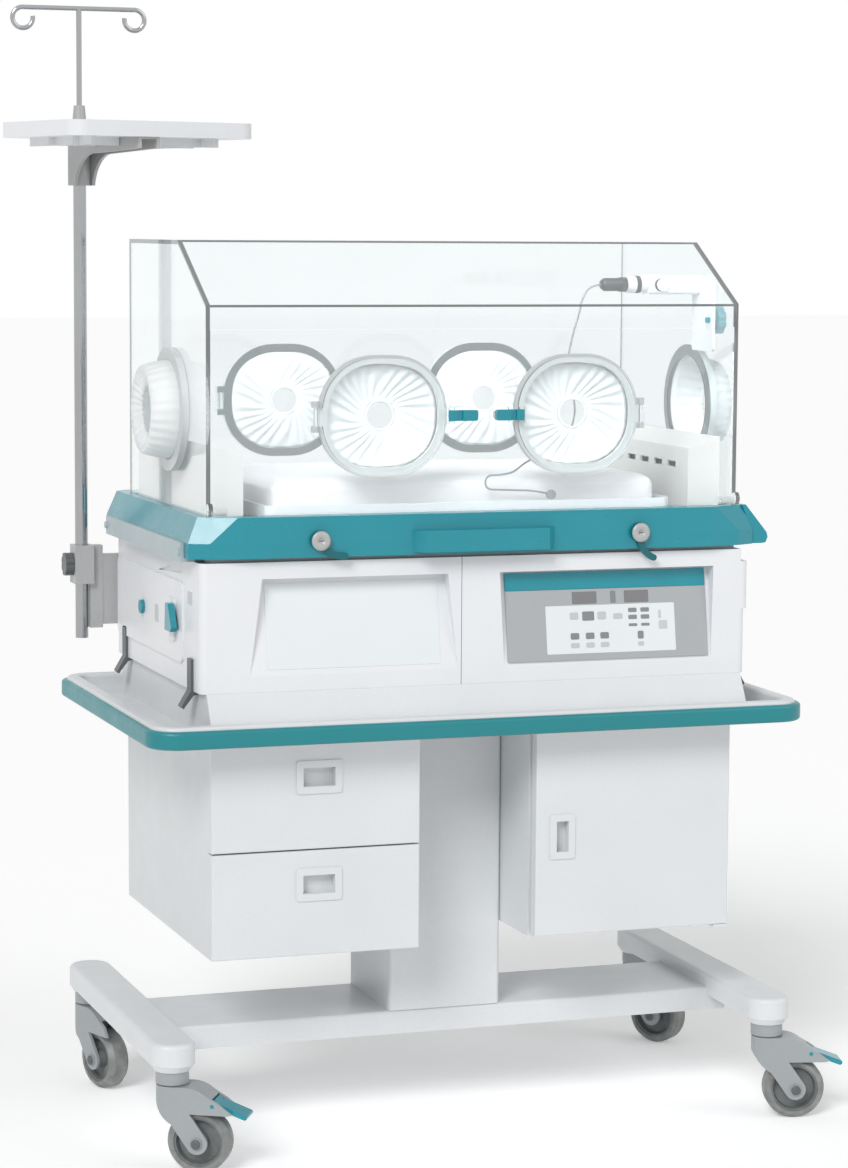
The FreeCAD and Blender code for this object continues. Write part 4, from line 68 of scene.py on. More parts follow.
# The floor glows on every kind of ray, not only to the camera, so it also lights the object a little from below
FLOOR_GLOW = 0.22
# A faint glow in the clear sheets makes their cut edges render grey; real acrylic has none
EDGE_GLOW = (0.86, 0.9, 0.9, 1.0)
EDGE_GLOW_STRENGTH = 0.035

# The operating panel's slanted face, in millimetres up the slope
RECESS_LOW = 22.0
RECESS_RISE = 133.0
RECESS_DEPTH = 22.0
PANEL_X = (41.0, 345.0)
PANEL_FOOT = 5.0
STRIP_FOOT = 104.8
PANEL_TOP = 129.8
KEYPAD_X = 198.0
KEYPAD_HALF = 98.0
KEYPAD_FOOT = 14.0
KEYPAD_TOP = 82.0

# Hood: its outer planes, how far past them the moulded parts begin, and the ports' places and oval
HOOD_FRONT = -0.223
HOOD_REAR = 0.203
HOOD_END = 0.391
PROUD = 0.0003
PORT_LEVEL = 1.027
DOOR_PORTS = (-0.142, 0.142)
REAR_PORTS = (-0.158, 0.158)
PORT_HALF_X = 0.0795
PORT_HALF_Z = 0.0710
PORT_MEAN = 0.0755
OVAL_POWER = 2.5
END_PORT_Y = -0.052
END_PORT_LEVEL = 1.030

# Small fittings
CATCH_X = {"left": -0.238, "right": 0.232}
CATCH_LEVEL = 0.860
AXLE_REACH = 0.0262
SCREW_X = 0.236
SCREW_Y = -0.2313
SCREW_LEVELS = (1.0105, 1.0435)
SENSOR_EYE = (0.319, -0.1081, 1.201)
PLUG_END = (0.2322, -0.094, 1.201)

# Soft pieces
IRIS_HOLE = 0.020
IRIS_PLEATS = 26
IRIS_ROWS = 16
SLEEVE_HOLE = 0.032
SLEEVE_STEPS = 160
PAD_VOXEL = 0.006
PAD_CAP = 0.006
PAD_INSET = 0.003
PAD_HEADROOM = 0.005
PAD_CORNER = 0.016
PAD_CHAMFER = 0.008
PAD_PRESSURE = 4.0
PAD_FRAMES = 20


def srgb(red, green, blue):
    def linear(value):
        value /= 255.0
        return value / 12.92 if value <= 0.04045 else ((value + 0.055) / 1.055) ** 2.4
    return (linear(red), linear(green), linear(blue), 1.0)


# Materials


class Recipe:
    """A material's node tree, with short calls for what the recipes below share."""

    def __init__(self, name):
        self.material = bpy.data.materials.new(name)
        self.material.use_nodes = True
        self.tree = self.material.node_tree
        self.shader = self.tree.nodes["Principled BSDF"]
        self.output = self.tree.nodes["Material Output"]
        self.place = self.add("ShaderNodeTexCoord").outputs["Object"]

    def add(self, kind, **settings):
        node = self.tree.nodes.new(kind)
        for key, value in settings.items():
            setattr(node, key, value)
        return node

    def link(self, source, target):
        self.tree.links.new(source, target)

    def noise(self, scale, detail=3.0, stretch=(1.0, 1.0, 1.0)):
        mapping = self.add("ShaderNodeMapping")
        mapping.inputs["Scale"].default_value = stretch
        self.link(self.place, mapping.inputs["Vector"])
        texture = self.add("ShaderNodeTexNoise")
        texture.inputs["Scale"].default_value = scale
        texture.inputs["Detail"].default_value = detail
        self.link(mapping.outputs["Vector"], texture.inputs["Vector"])
        return texture.outputs["Fac"]

    def ranged(self, value, low, high, start=0.3, stop=0.7):
        node = self.add("ShaderNodeMapRange")
        for key, number in (("From Min", start), ("From Max", stop), ("To Min", low), ("To Max", high)):
            node.inputs[key].default_value = number
        self.link(value, node.inputs["Value"])
        return node.outputs["Result"]

    def math(self, operation, first, second):
        node = self.add("ShaderNodeMath", operation=operation)
        for socket, value in zip(node.inputs, (first, second)):
            if isinstance(value, (int, float)):
                socket.default_value = value
            else:
                self.link(value, socket)
        return node.outputs[0]

    def blend(self, factor, first, second):
        node = self.add("ShaderNodeMix", data_type="RGBA")
        self.link(factor, node.inputs["Factor"])
        for socket, value in ((node.inputs[6], first), (node.inputs[7], second)):
            if isinstance(value, tuple):
                socket.default_value = value
            else:
                self.link(value, socket)
        return node.outputs[2]

    def bump(self, height, distance, strength=0.6):
        node = self.add("ShaderNodeBump")
        node.inputs["Distance"].default_value = distance
        node.inputs["Strength"].default_value = strength
        self.link(height, node.inputs["Height"])
        self.link(node.outputs["Normal"], self.shader.inputs["Normal"])

    def colour(self, value):
        self.link(value, self.shader.inputs["Base Color"])

    def set(self, **values):
        for key, value in values.items():
            self.shader.inputs[key.replace("_", " ")].default_value = value


def shaded(colour, share):
    return tuple(channel * share for channel in colour[:3]) + (1.0,)


def finish(name, colour, rough=0.4, grain=900.0, depth=0.00008, mottle=0.05, metal=0.0, coat=0.0,
           stretch=(1.0, 1.0, 1.0)):
    """A moulded or painted surface: faint clouds of tone, a fine grain in its relief and uneven gloss."""
    recipe = Recipe(name)
    cloud = recipe.ranged(recipe.noise(7.0), 0.0, 1.0)
    speck = recipe.ranged(recipe.noise(grain * 0.4, 2.0, stretch), 0.0, 1.0)
    tone = recipe.blend(cloud, colour, shaded(colour, 1.0 - mottle))
    recipe.colour(recipe.blend(recipe.math("MULTIPLY", speck, 0.35), tone, shaded(colour, 1.0 - 1.6 * mottle)))
    gloss = recipe.ranged(recipe.noise(28.0, 4.0), rough * 0.88, rough * 1.12)
    recipe.link(gloss, recipe.shader.inputs["Roughness"])
    recipe.bump(recipe.noise(grain, 2.0, stretch), depth)
    recipe.set(Metallic=metal)
    if coat:
        recipe.set(Coat_Weight=coat, Coat_Roughness=0.12)
    return recipe.material


def acrylic(name, tint, frosted=None):
    """Clear sheet that lets lamps through; frosted(recipe) marks where moulded parts stand proud of it."""
    recipe = Recipe(name)
    haze = recipe.ranged(recipe.noise(9.0, 5.0), 0.012, 0.045)
    recipe.link(haze, recipe.shader.inputs["Roughness"])
    recipe.colour(recipe.blend(recipe.ranged(recipe.noise(5.0), 0.0, 1.0), tint, shaded(tint, 0.975)))
    recipe.set(Transmission_Weight=1.0, IOR=1.46, Emission_Color=EDGE_GLOW, Emission_Strength=EDGE_GLOW_STRENGTH)
    film = recipe.add("ShaderNodeBsdfTransparent")
    film.inputs["Color"].default_value = (0.96, 0.975, 0.975, 1.0)
    light = recipe.add("ShaderNodeLightPath")
    through = recipe.add("ShaderNodeMixShader")
    recipe.link(light.outputs["Is Shadow Ray"], through.inputs["Fac"])
    recipe.link(recipe.shader.outputs["BSDF"], through.inputs[1])
    recipe.link(film.outputs["BSDF"], through.inputs[2])
    surface = through.outputs["Shader"]
    if frosted:
        moulded = recipe.add("ShaderNodeBsdfPrincipled")
        moulded.inputs["Base Color"].default_value = srgb(232, 236, 237)
        moulded.inputs["Transmission Weight"].default_value = 0.45
        moulded.inputs["Roughness"].default_value = 0.28
        choice = recipe.add("ShaderNodeMixShader")
        recipe.link(frosted(recipe), choice.inputs["Fac"])
        recipe.link(surface, choice.inputs[1])
        recipe.link(moulded.outputs["BSDF"], choice.inputs[2])
        surface = choice.outputs["Shader"]
    recipe.link(surface, recipe.output.inputs["Surface"])
    return recipe.material


def proud_of(front=None, rear=None, side=None):
    """A mask that is 1 where a piece stands outside the sheets' planes."""
    def mask(recipe):
        axes = recipe.add("ShaderNodeSeparateXYZ")
        recipe.link(recipe.place, axes.inputs["Vector"])
        total = None
        if front is not None:
            total = recipe.math("LESS_THAN", axes.outputs["Y"], front)
        if rear is not None:
            total = recipe.math("GREATER_THAN", axes.outputs["Y"], rear)
            reach = recipe.math("ABSOLUTE", axes.outputs["X"], 0.0)
            total = recipe.math("MAXIMUM", total, recipe.math("GREATER_THAN", reach, side))
        return total
    return mask


def wheel_finish(corner):
    """Grey tyre round a darker hub, told apart by the distance from the wheel's own axle."""
    joint = JOINTS["wheel_spin_" + corner]
    recipe = Recipe("wheel_" + corner)
    offset = recipe.add("ShaderNodeVectorMath", operation="SUBTRACT")
    offset.inputs[1].default_value = joint["pos_m"]
    recipe.link(recipe.place, offset.inputs[0])
    cross = recipe.add("ShaderNodeVectorMath", operation="CROSS_PRODUCT")
    cross.inputs[1].default_value = joint["axis"]
    recipe.link(offset.outputs[0], cross.inputs[0])
    radius = recipe.add("ShaderNodeVectorMath", operation="LENGTH")
    recipe.link(cross.outputs[0], radius.inputs[0])
    tyre = recipe.ranged(radius.outputs["Value"], 0.0, 1.0, 0.0332, 0.0340)
    cloud = recipe.ranged(recipe.noise(60.0, 4.0), 0.0, 1.0)
    rubber = recipe.blend(cloud, srgb(140, 142, 140), srgb(112, 114, 113))
    hub = recipe.blend(cloud, srgb(118, 122, 122), srgb(98, 103, 103))
    recipe.colour(recipe.blend(tyre, hub, rubber))
    recipe.link(recipe.ranged(cloud, 0.42, 0.6, 0.0, 1.0), recipe.shader.inputs["Roughness"])
    recipe.bump(recipe.noise(700.0, 2.0), 0.0001)
    return recipe.material


def cloth_finish(name, colour, thread=900.0, rough=0.75, sheen=0.2):
    """Coated weave: two crossed sets of threads in the relief, soft creases and a faint sheen."""
    recipe = Recipe(name)
    threads = []
    for direction in ("X", "Y"):
        wave = recipe.add("ShaderNodeTexWave", bands_direction=direction)
        wave.inputs["Scale"].default_value = thread
        recipe.link(recipe.place, wave.inputs["Vector"])
        threads.append(wave.outputs["Fac"])
    weave = recipe.math("MULTIPLY", threads[0], threads[1])
    crease = recipe.noise(24.0, 5.0)
    tone = recipe.blend(recipe.ranged(crease, 0.0, 1.0), colour, shaded(colour, 0.93))
    recipe.colour(recipe.blend(recipe.math("MULTIPLY", weave, 0.3), tone, shaded(colour, 0.88)))
    recipe.bump(recipe.math("ADD", recipe.math("MULTIPLY", weave, 0.15), crease), 0.0012, 0.5)
    recipe.link(recipe.ranged(crease, rough * 0.9, rough), recipe.shader.inputs["Roughness"])
    recipe.set(Sheen_Weight=sheen)
    return recipe.material


WHITE = srgb(228, 230, 233)
TEAL = srgb(0, 138, 153)
GREY = srgb(168, 171, 173)
CLEAR = (0.90, 0.925, 0.93, 1.0)
paint = finish("white_paint", srgb(218, 221, 223), 0.38, 420.0, 0.00012)
housing = finish("white_plastic", WHITE, 0.34, 1100.0, 0.00006, coat=0.15)
cabinet = finish("cabinet_white", srgb(216, 219, 221), 0.42, 520.0, 0.0001)
teal = finish("teal_plastic", TEAL, 0.3, 900.0, 0.00006, 0.07, coat=0.35)
# The catches' teal is darkened to the trim teal's look in shade: painted shade, not a darker plastic
teal_painted_shade = finish("teal_painted_shade", srgb(0, 98, 104), 0.36, 900.0, 0.00006, 0.08)
bumper = finish("bumper_teal", srgb(0, 128, 135), 0.42, 600.0, 0.00015, 0.08, coat=0.2)
caster = finish("caster_grey", srgb(158, 163, 165), 0.36, 800.0, 0.0001, 0.08)
panel_grey = finish("panel_grey", GREY, 0.45, 1400.0, 0.00004)
keypad_pale = finish("keypad", srgb(224, 229, 230), 0.4, 1500.0, 0.00003, 0.03)
key_grey = finish("key_marks", srgb(135, 138, 141), 0.45, 1500.0, 0.00003, 0.12)
key_pale = finish("key_pale", srgb(196, 200, 202), 0.45, 1500.0, 0.00003, 0.1)
window_dark = finish("display_window", srgb(122, 122, 124), 0.2, 900.0, 0.00002, 0.1, coat=0.6)
dark = finish("dark_grey", srgb(92, 95, 97), 0.4, 700.0, 0.0001, 0.1)
black = finish("dark_socket", srgb(38, 52, 54), 0.35, 900.0, 0.00005, 0.1)
clamp = finish("clamp_grey", srgb(178, 179, 179), 0.38, 380.0, 0.0002, 0.08, metal=0.15)
rail = finish("rail_grey", srgb(172, 186, 190), 0.35, 500.0, 0.0001, 0.05)
steel = finish("brushed_steel", srgb(165, 165, 165), 0.34, 300.0, 0.0002, 0.1, metal=1.0,
               stretch=(1.0, 1.0, 12.0))
chrome = finish("chrome", srgb(176, 178, 180), 0.16, 260.0, 0.00003, 0.12, metal=1.0,
                stretch=(6.0, 6.0, 0.4))
beige = finish("duct_plastic", srgb(214, 213, 211), 0.45, 900.0, 0.0001)
cover_cloth = cloth_finish("mattress_cover", srgb(236, 235, 237))
iris_cloth = cloth_finish("cuff", srgb(236, 239, 240), 1400.0, 0.6)
lead = finish("cable_grey", srgb(150, 153, 154), 0.5, 1500.0, 0.00005, 0.1)

DRESS = {
    paint: ("base_frame", "column", "deck", "plinth"),
    cabinet: ("drawer_cabinet", "upper_drawer", "lower_drawer", "door_cabinet", "cabinet_door"),
    housing: ("base_housing", "front_covers", "side_cover", "mattress_tray", "instrument_tray", "sensor_module"),
    bumper: ("bumper_strip",),
    teal: ("trim_front", "trim_surround", "port_catch_left", "port_catch_right", "sensor_knob", "side_button",
           "side_lever", "brake_pedal_left", "brake_pedal_right"),
    teal_painted_shade: ("frame_catch_left", "frame_catch_right"),
    caster: tuple("caster_%s_fork" % corner for corner in CORNERS),
    dark: ("hold_down_clips", "fan_motor", "clamp_knob"),
    clamp: ("fan_impeller", "pole_bracket", "tray_arm"),
    rail: ("chassis_floor",),
    steel: ("heater", "water_tank"),
    chrome: ("pole", "iv_rod"),
    beige: ("air_ducts",),
    lead: ("skin_probe",),
    acrylic("clear_top", CLEAR): ("hood_top",),
    acrylic("clear_walls", CLEAR, proud_of(rear=HOOD_REAR + PROUD, side=HOOD_END + PROUD)): ("hood_walls",),
    acrylic("clear_door", CLEAR, proud_of(front=HOOD_FRONT - PROUD)): ("access_door",),
    acrylic("clear_lids", CLEAR): ("front_port_lid_left", "front_port_lid_right", "rear_port_lid_left",
                                   "rear_port_lid_right"),
}


def dress():
    """Give every carried-over node its better material."""
    for material, names in DRESS.items():
        for name in names:
            cover(NODES[name], material)
    for corner in CORNERS:
        cover(NODES["caster_%s_wheel" % corner], wheel_finish(corner))


def cover(piece, material):
    if not piece.material_slots:
        piece.data.materials.append(material)
    for slot in piece.material_slots:
        slot.material = material


# Pieces


def add_piece(name, bm, materials, body, smooth=True):
    mesh = bpy.data.meshes.new(name)
    bmesh.ops.recalc_face_normals(bm, faces=bm.faces)
    bm.to_mesh(mesh)
    bm.free()
    piece = bpy.data.objects.new(name, mesh)
    bpy.context.scene.collection.objects.link(piece)
    for material in materials:
        mesh.materials.append(material)
    for face in mesh.polygons:
        face.use_smooth = smooth
    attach(piece, body)
    return piece


def add_plate(bm, turn, u0, u1, v0, v1, low, high, radius, index=0, bevel=0.0004):
    """A plate with round corners and a small chamfer, in the frame that turn gives."""
    radius = min(radius, 0.49 * (u1 - u0), 0.49 * (v1 - v0))
    corners = ((u1 - radius, v1 - radius, 0), (u0 + radius, v1 - radius, 90), (u0 + radius, v0 + radius, 180),
               (u1 - radius, v0 + radius, 270))
    rings = []
    for inset, level in ((0.0, low), (0.0, high - bevel), (bevel, high)):
        ring = []
        for u, v, start in corners:
            for step in range(5):
                angle = math.radians(start + step * 22.5)
                reach = max(radius - inset, 0.0)
                point = Vector((u + reach * math.cos(angle), v + reach * math.sin(angle), level))
                ring.append(bm.verts.new(turn @ point))
        rings.append(ring)
    count = len(rings[0])
    for lower, upper in zip(rings, rings[1:]):
        for i in range(count):
            face = bm.faces.new((lower[i], lower[(i + 1) % count], upper[(i + 1) % count], upper[i]))
            face.material_index = index
    for ring in (rings[0], rings[-1]):
        bm.faces.new(ring).material_index = index


def add_lathe(bm, turn, profile, index=0, segments=36, closed=False):
    """Turn an outline of (radius, height) about the frame's own w axis."""
    rings = []
    for radius, height in profile:
        rings.append([bm.verts.new(turn @ Vector((radius * math.cos(a), radius * math.sin(a), height)))
                      for a in (2 * math.pi * i / segments for i in range(segments))])
    pairs = list(zip(rings, rings[1:]))
    if closed:
        pairs.append((rings[-1], rings[0]))
    for lower, upper in pairs:
        for i in range(segments):
            face = bm.faces.new((lower[i], lower[(i + 1) % segments], upper[(i + 1) % segments], upper[i]))
            face.material_index = index
    if not closed:
        bm.faces.new(rings[0]).material_index = index
        bm.faces.new(rings[-1]).material_index = index


def facing(origin, out, up=(0.0, 0.0, 1.0)):
    """A frame at origin whose w axis points out and whose v axis leans to up."""
    w = Vector(out).normalized()
    u = Vector(up).cross(w).normalized()
    v = w.cross(u)
    return Matrix.Translation(origin) @ Matrix((u, v, w)).transposed().to_4x4()


def recess_turn():
    """The frame, in millimetres, of the slanted face that both front covers are recessed to."""
    low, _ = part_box("front_covers")
    slope = Vector((0.0, RECESS_DEPTH, RECESS_RISE)).normalized()
    out = Vector((0.0, -slope.z, slope.y))
    return facing((0.0, low[1], low[2] + RECESS_LOW * MM), out, slope) @ Matrix.Scale(MM, 4)


def control_panel():
    """The operating panel: grey plate, teal strip, pale keypad, display windows and unlettered keys."""
    turn = recess_turn()
    bm = bmesh.new()

    def plate(x0, x1, up0, up1, lift, thick, radius, index):
        add_plate(bm, turn, x0, x1, up0, up1, lift, lift + thick, radius, index, min(0.3, thick * 0.4))

    plate(PANEL_X[0], PANEL_X[1], PANEL_FOOT, STRIP_FOOT, 0.1, 3.0, 1.0, 0)
    plate(PANEL_X[0], PANEL_X[1], STRIP_FOOT + 0.2, PANEL_TOP, 0.1, 3.4, 1.0, 1)
    plate(KEYPAD_X - KEYPAD_HALF, KEYPAD_X + KEYPAD_HALF, KEYPAD_FOOT, KEYPAD_TOP, 3.1, 0.5, 2.0, 2)
    for x in (-57.0, 22.0):
        plate(KEYPAD_X + x, KEYPAD_X + x + 37.0, 84.0, 101.0, 3.1, 0.5, 1.5, 3)
    plate(KEYPAD_X + 1.0, KEYPAD_X + 9.0, 84.0, 101.0, 3.1, 0.4, 1.5, 4)
    face = 3.6
    for x, up, width, height, index in ((-62, 62, 13, 10, 5), (-43, 60, 18, 13, 4), (-20, 61, 13, 11, 5),
                                        (4, 61, 14, 8, 5), (73, 60, 4, 12, 5), (73, 45, 13, 12, 5)):
        plate(KEYPAD_X + x, KEYPAD_X + x + width, up, up + height, face, 0.5, 2.0, index)
    for x in (-62, -39, -17):
        plate(KEYPAD_X + x, KEYPAD_X + x + 13, 34, 43, face, 0.5, 2.0, 4)
        plate(KEYPAD_X + x, KEYPAD_X + x + 13, 22, 29, face, 0.5, 2.0, 5)
    for x in (27, 46):
        for up, height in ((70, 6), (60, 6), (50, 4)):
            plate(KEYPAD_X + x, KEYPAD_X + x + 13, up, up + height, face, 0.5, 1.5, 4)
    plate(KEYPAD_X + 40, KEYPAD_X + 49, 32, 43, face, 0.5, 2.0, 4)
    plate(KEYPAD_X + 40, KEYPAD_X + 49, 22, 28, face, 0.5, 2.0, 5)
    piece = add_piece("panel_face", bm, (panel_grey, teal, keypad_pale, window_dark, key_grey, key_pale),
                      "chassis", False)
    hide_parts("control_panel")


def label_plate():
    """The bare instruction plate in the left cover's recess."""
    bm = bmesh.new()
    add_plate(bm, recess_turn(), -308.0, -58.0, 8.0, 126.0, 0.05, 0.7, 3.0, 0, 0.2)
    add_piece("label_plate", bm, (keypad_pale,), "chassis", False)


def small_plates():
    """Bare labels on the left side, as the photograph's grey marks."""
    low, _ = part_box("side_cover")
    bm = bmesh.new()
    cover_turn = facing((low[0] + 3 * MM, 0.0, 0.0), (-1.0, 0.0, 0.0))
    add_plate(bm, cover_turn, 0.002, 0.022, 0.727, 0.752, 0.0, 0.0005, 0.002, 0)
    add_plate(bm, facing((-0.403, 0.0, 0.0), (-1.0, 0.0, 0.0)), 0.172, 0.196, 0.770, 0.788, 0.0, 0.0005, 0.002, 0)
    add_piece("side_labels", bm, (key_pale,), "chassis", False)


def catch_heads():
    """The round heads of the trim frame's two catches, each with a dark bar as the painted shade of its slot."""
    head = ((0.0135, 0.0), (0.0135, 0.0012), (0.011, 0.0026), (0.0045, 0.0032), (0.004, 0.0018))
    for side, x in CATCH_X.items():
        node_low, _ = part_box("frame_catch_" + side)
        bm = bmesh.new()
        turn = facing((x, node_low[1] - 0.0001, CATCH_LEVEL), (0.0, -1.0, 0.0))
        add_lathe(bm, turn, head)
        # A dark bar in the head's dish stands for the slot: painted shade, not a cut
        add_plate(bm, turn, -0.0028, 0.0028, -0.0006, 0.0006, 0.0018, 0.0022, 0.0004, 1, 0.0001)
        add_piece("catch_head_" + side, bm, (clamp, dark), "frame_catch_" + side)


def axle_caps():
    """A cap on each end of every wheel's axle."""
    cap = ((0.0068, 0.0), (0.0068, 0.0016), (0.0052, 0.0026), (0.002, 0.0026))
    for corner in CORNERS:
        joint = JOINTS["wheel_spin_" + corner]
        axis = Vector(joint["axis"])
        bm = bmesh.new()
        for way in (-1, 1):
            turn = facing(Vector(joint["pos_m"]) + axis * way * AXLE_REACH, axis * way)
            add_lathe(bm, turn, cap, 0, 24)
        add_piece("axle_cap_" + corner, bm, (dark,), "caster_" + corner)


def hinge_screws():
    """Two dark screws at the hinge of each front port lid."""
    bm = bmesh.new()
    for side in (-1, 1):
        for z in SCREW_LEVELS:
            turn = facing((side * SCREW_X, SCREW_Y, z), (0.0, -1.0, 0.0))
            add_lathe(bm, turn, ((0.0035, 0.0), (0.0035, 0.0010), (0.0020, 0.0016)), 0, 20)
    add_piece("hinge_screws", bm, (dark,), "access_door")


def sensor_eye_and_plug():
    """The sensor arm's dark eye, the grip of the lead's plug and the dark ring past it."""
    bm = bmesh.new()
    add_lathe(bm, facing(SENSOR_EYE, (0.0, -1.0, 0.0)),
              ((0.0092, 0.0), (0.0092, 0.0015), (0.0080, 0.0024), (0.0030, 0.0026)), 0)
    along = facing(PLUG_END, (1.0, 0.0, 0.0))
    add_lathe(bm, along, ((0.0060, -0.0008), (0.0094, 0.004), (0.0094, 0.026), (0.0104, 0.0275), (0.0104, 0.0375),
                          (0.0092, 0.0376)), 0)
    add_lathe(bm, along, ((0.0125, 0.052), (0.0125, 0.058), (0.0121, 0.0585), (0.0121, 0.0515)), 0, closed=True)
    add_piece("sensor_eye_and_plug", bm, (black,), "hood")


def port_ring_point(centre_x, level, angle, share):
    """A point of the hand port's oval, as a share of its half width and height."""
    half_x, half_z = PORT_HALF_X * share, PORT_HALF_Z * share
    c, s = math.cos(angle), math.sin(angle)
    power = 2.0 / OVAL_POWER
    return Vector((centre_x + half_x * math.copysign(abs(c) ** power, c), 0.0,
                   level + half_z * math.copysign(abs(s) ** power, s)))


def iris(name, centre_x, face_y, inward, level, body):
    """A gathered cuff: a fabric disc pleated from the port's oval to a small arm hole."""
    bm = bmesh.new()
    around = IRIS_PLEATS * 8
    rings = []
    for j in range(IRIS_ROWS + 1):
        t = j / IRIS_ROWS
        share = 1.0 - t * (1.0 - IRIS_HOLE / PORT_MEAN)
        fade = math.sin(math.pi * min(t * 1.15, 1.0)) ** 0.6
        ring = []
        for i in range(around):
            angle = 2 * math.pi * i / around
            seed = noise.noise(Vector((math.cos(angle) * 3.0, math.sin(angle) * 3.0, centre_x * 9.0 + t)))
            twist = 0.35 * t * t
            point = port_ring_point(centre_x, level, angle + twist + 0.05 * seed * t, share)
            pleat = math.sin(IRIS_PLEATS * angle + 1.5 * seed) * 0.0022 * fade
            dish = 0.0035 + 0.0060 * math.sin(math.pi * 0.5 * t)
            point.y = face_y + inward * (dish + pleat + 0.0015 * seed * t)
            ring.append(bm.verts.new(point))
        rings.append(ring)
    for lower, upper in zip(rings, rings[1:]):
        for i in range(around):
            bm.faces.new((lower[i], lower[(i + 1) % around], upper[(i + 1) % around], upper[i]))
    add_lathe(bm, facing((centre_x, face_y + inward * 0.0095, level), (0.0, 1.0, 0.0)),
              [(IRIS_HOLE + 0.0017 * math.cos(a), 0.0017 * math.sin(a))
               for a in (2 * math.pi * k / 10 for k in range(10))], 0, 48, True)
    piece = add_piece(name, bm, (iris_cloth,), body)
    solid = piece.modifiers.new("thickness", "SOLIDIFY")
    solid.thickness = 0.0006
    # The area was set to what this mesh measures, and isn't that of a cut worked out beforehand
    return piece


def sleeve(side):
    """An end port's sleeve: a soft gathered tube held by its ring, drawn in at its outer end."""
    turn = facing((side * HOOD_END, END_PORT_Y, END_PORT_LEVEL), (side, 0.0, 0.0))
    outline = [(0.0695, 0.001), (0.0690, 0.010), (0.0672, 0.022), (0.0640, 0.034), (0.0600, 0.0455),
               (0.0560, 0.0475), (0.0500, 0.0440), (0.0430, 0.0400), (SLEEVE_HOLE, 0.0370)]
    around = SLEEVE_STEPS
    bm = bmesh.new()
    rings = []
    for j, (radius, height) in enumerate(outline):
        ring = []
        for i in range(around):
            angle = 2 * math.pi * i / around
            seed = noise.noise(Vector((math.cos(angle) * 2.5, math.sin(angle) * 2.5, side * 4.0 + j * 0.35)))
            fold = math.sin(30 * angle + 2.0 * seed) * 0.0011 * min(1.0, 0.25 * j)
            reach = radius + (fold + 0.0008 * seed if 0 < j < 6 else 0.0)
            rise = height + (fold * 1.3 if j >= 6 else 0.0)
            ring.append(bm.verts.new(turn @ Vector((reach * math.cos(angle), reach * math.sin(angle), rise))))
        rings.append(ring)
    for lower, upper in zip(rings, rings[1:]):
        for i in range(around):
            bm.faces.new((lower[i], lower[(i + 1) % around], upper[(i + 1) % around], upper[i]))
    piece = add_piece("end_sleeve_" + ("left" if side < 0 else "right"), bm, (iris_cloth,), "hood")
    solid = piece.modifiers.new("thickness", "SOLIDIFY")
    solid.thickness = 0.0007
    return piece


def mattress_pad():
    low, high = (Vector(v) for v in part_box("mattress"))
    middle = (low + high) / 2
    bm = bmesh.new()
    turn = Matrix.Translation((middle.x, middle.y, low.z))
    half_x, half_y = (high.x - low.x) / 2 - PAD_INSET, (high.y - low.y) / 2 - PAD_INSET
    height = high.z - low.z - PAD_HEADROOM
    add_plate(bm, turn, -half_x, half_x, -half_y, half_y, 0.0, height, PAD_CORNER, 0, PAD_CHAMFER)
    piece = add_piece("mattress_pad", bm, (cover_cloth,), "chassis")
    bpy.context.view_layer.objects.active = piece
    remesh = piece.modifiers.new("remesh", "REMESH")
    remesh.mode = "VOXEL"
    remesh.voxel_size = PAD_VOXEL
    apply_modifiers(piece)
    start = [vertex.co.copy() for vertex in piece.data.vertices]
    cloth = piece.modifiers.new("cloth", "CLOTH")
    cloth.settings.use_pressure = True
    cloth.settings.uniform_pressure_force = PAD_PRESSURE
    cloth.settings.effector_weights.gravity = 0.0
    cloth.settings.quality = 4
    cloth.collision_settings.use_collision = False
    for number in range(1, PAD_FRAMES + 1):
        bpy.context.scene.frame_set(number)
    apply_modifiers(piece)
    bpy.context.scene.frame_set(1)
    for vertex, place in zip(piece.data.vertices, start):
        move = vertex.co - place
        vertex.co = place + (move * (PAD_CAP / move.length) if move.length > PAD_CAP else move)
        vertex.co.z = max(vertex.co.z, low.z + 0.0003)
        vertex.co.x = min(max(vertex.co.x, low.x), high.x)
        vertex.co.y = min(max(vertex.co.y, low.y), high.y)
    for vertex in piece.data.vertices:
        ripple = noise.noise(vertex.co * 14.0) * 0.0012 + noise.noise(vertex.co * 40.0) * 0.0004
        vertex.co.z += ripple * min(1.0, (vertex.co.z - low.z) / 0.03)
    smooth = piece.modifiers.new("smooth", "SUBSURF")
    smooth.levels = 1
    smooth.render_levels = 1
    for face in piece.data.polygons:
        face.use_smooth = True
    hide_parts("mattress")


def apply_modifiers(piece):
    depsgraph = bpy.context.evaluated_depsgraph_get()
    mesh = bpy.data.meshes.new_from_object(piece.evaluated_get(depsgraph))
    materials = list(piece.data.materials)
    piece.modifiers.clear()
    piece.data = mesh
    if not mesh.materials:
        for material in materials:
            mesh.materials.append(material)


CABLE_ROUTE = [
    (231.7, -94, 1201), (214, -94, 1199), (203, -95, 1182), (196, -96, 1158), (186, -98, 1128), (178, -101, 1094),
    (182, -104, 1060), (190, -107, 1028), (182, -112, 998), (160, -124, 975), (132, -144, 966), (104, -164, 961),
    (82, -182, 955), (62, -196, 944), (42, -196.9, 940.6), (19.5, -196.5, 940.4), (19.5, -196.5, 920.6),
    (42, -196.8, 920), (66, -196.5, 918.6), (90, -196.8, 918), (111, -196.5, 913.5)]
CABLE_DIAMETER = 2.8 * MM


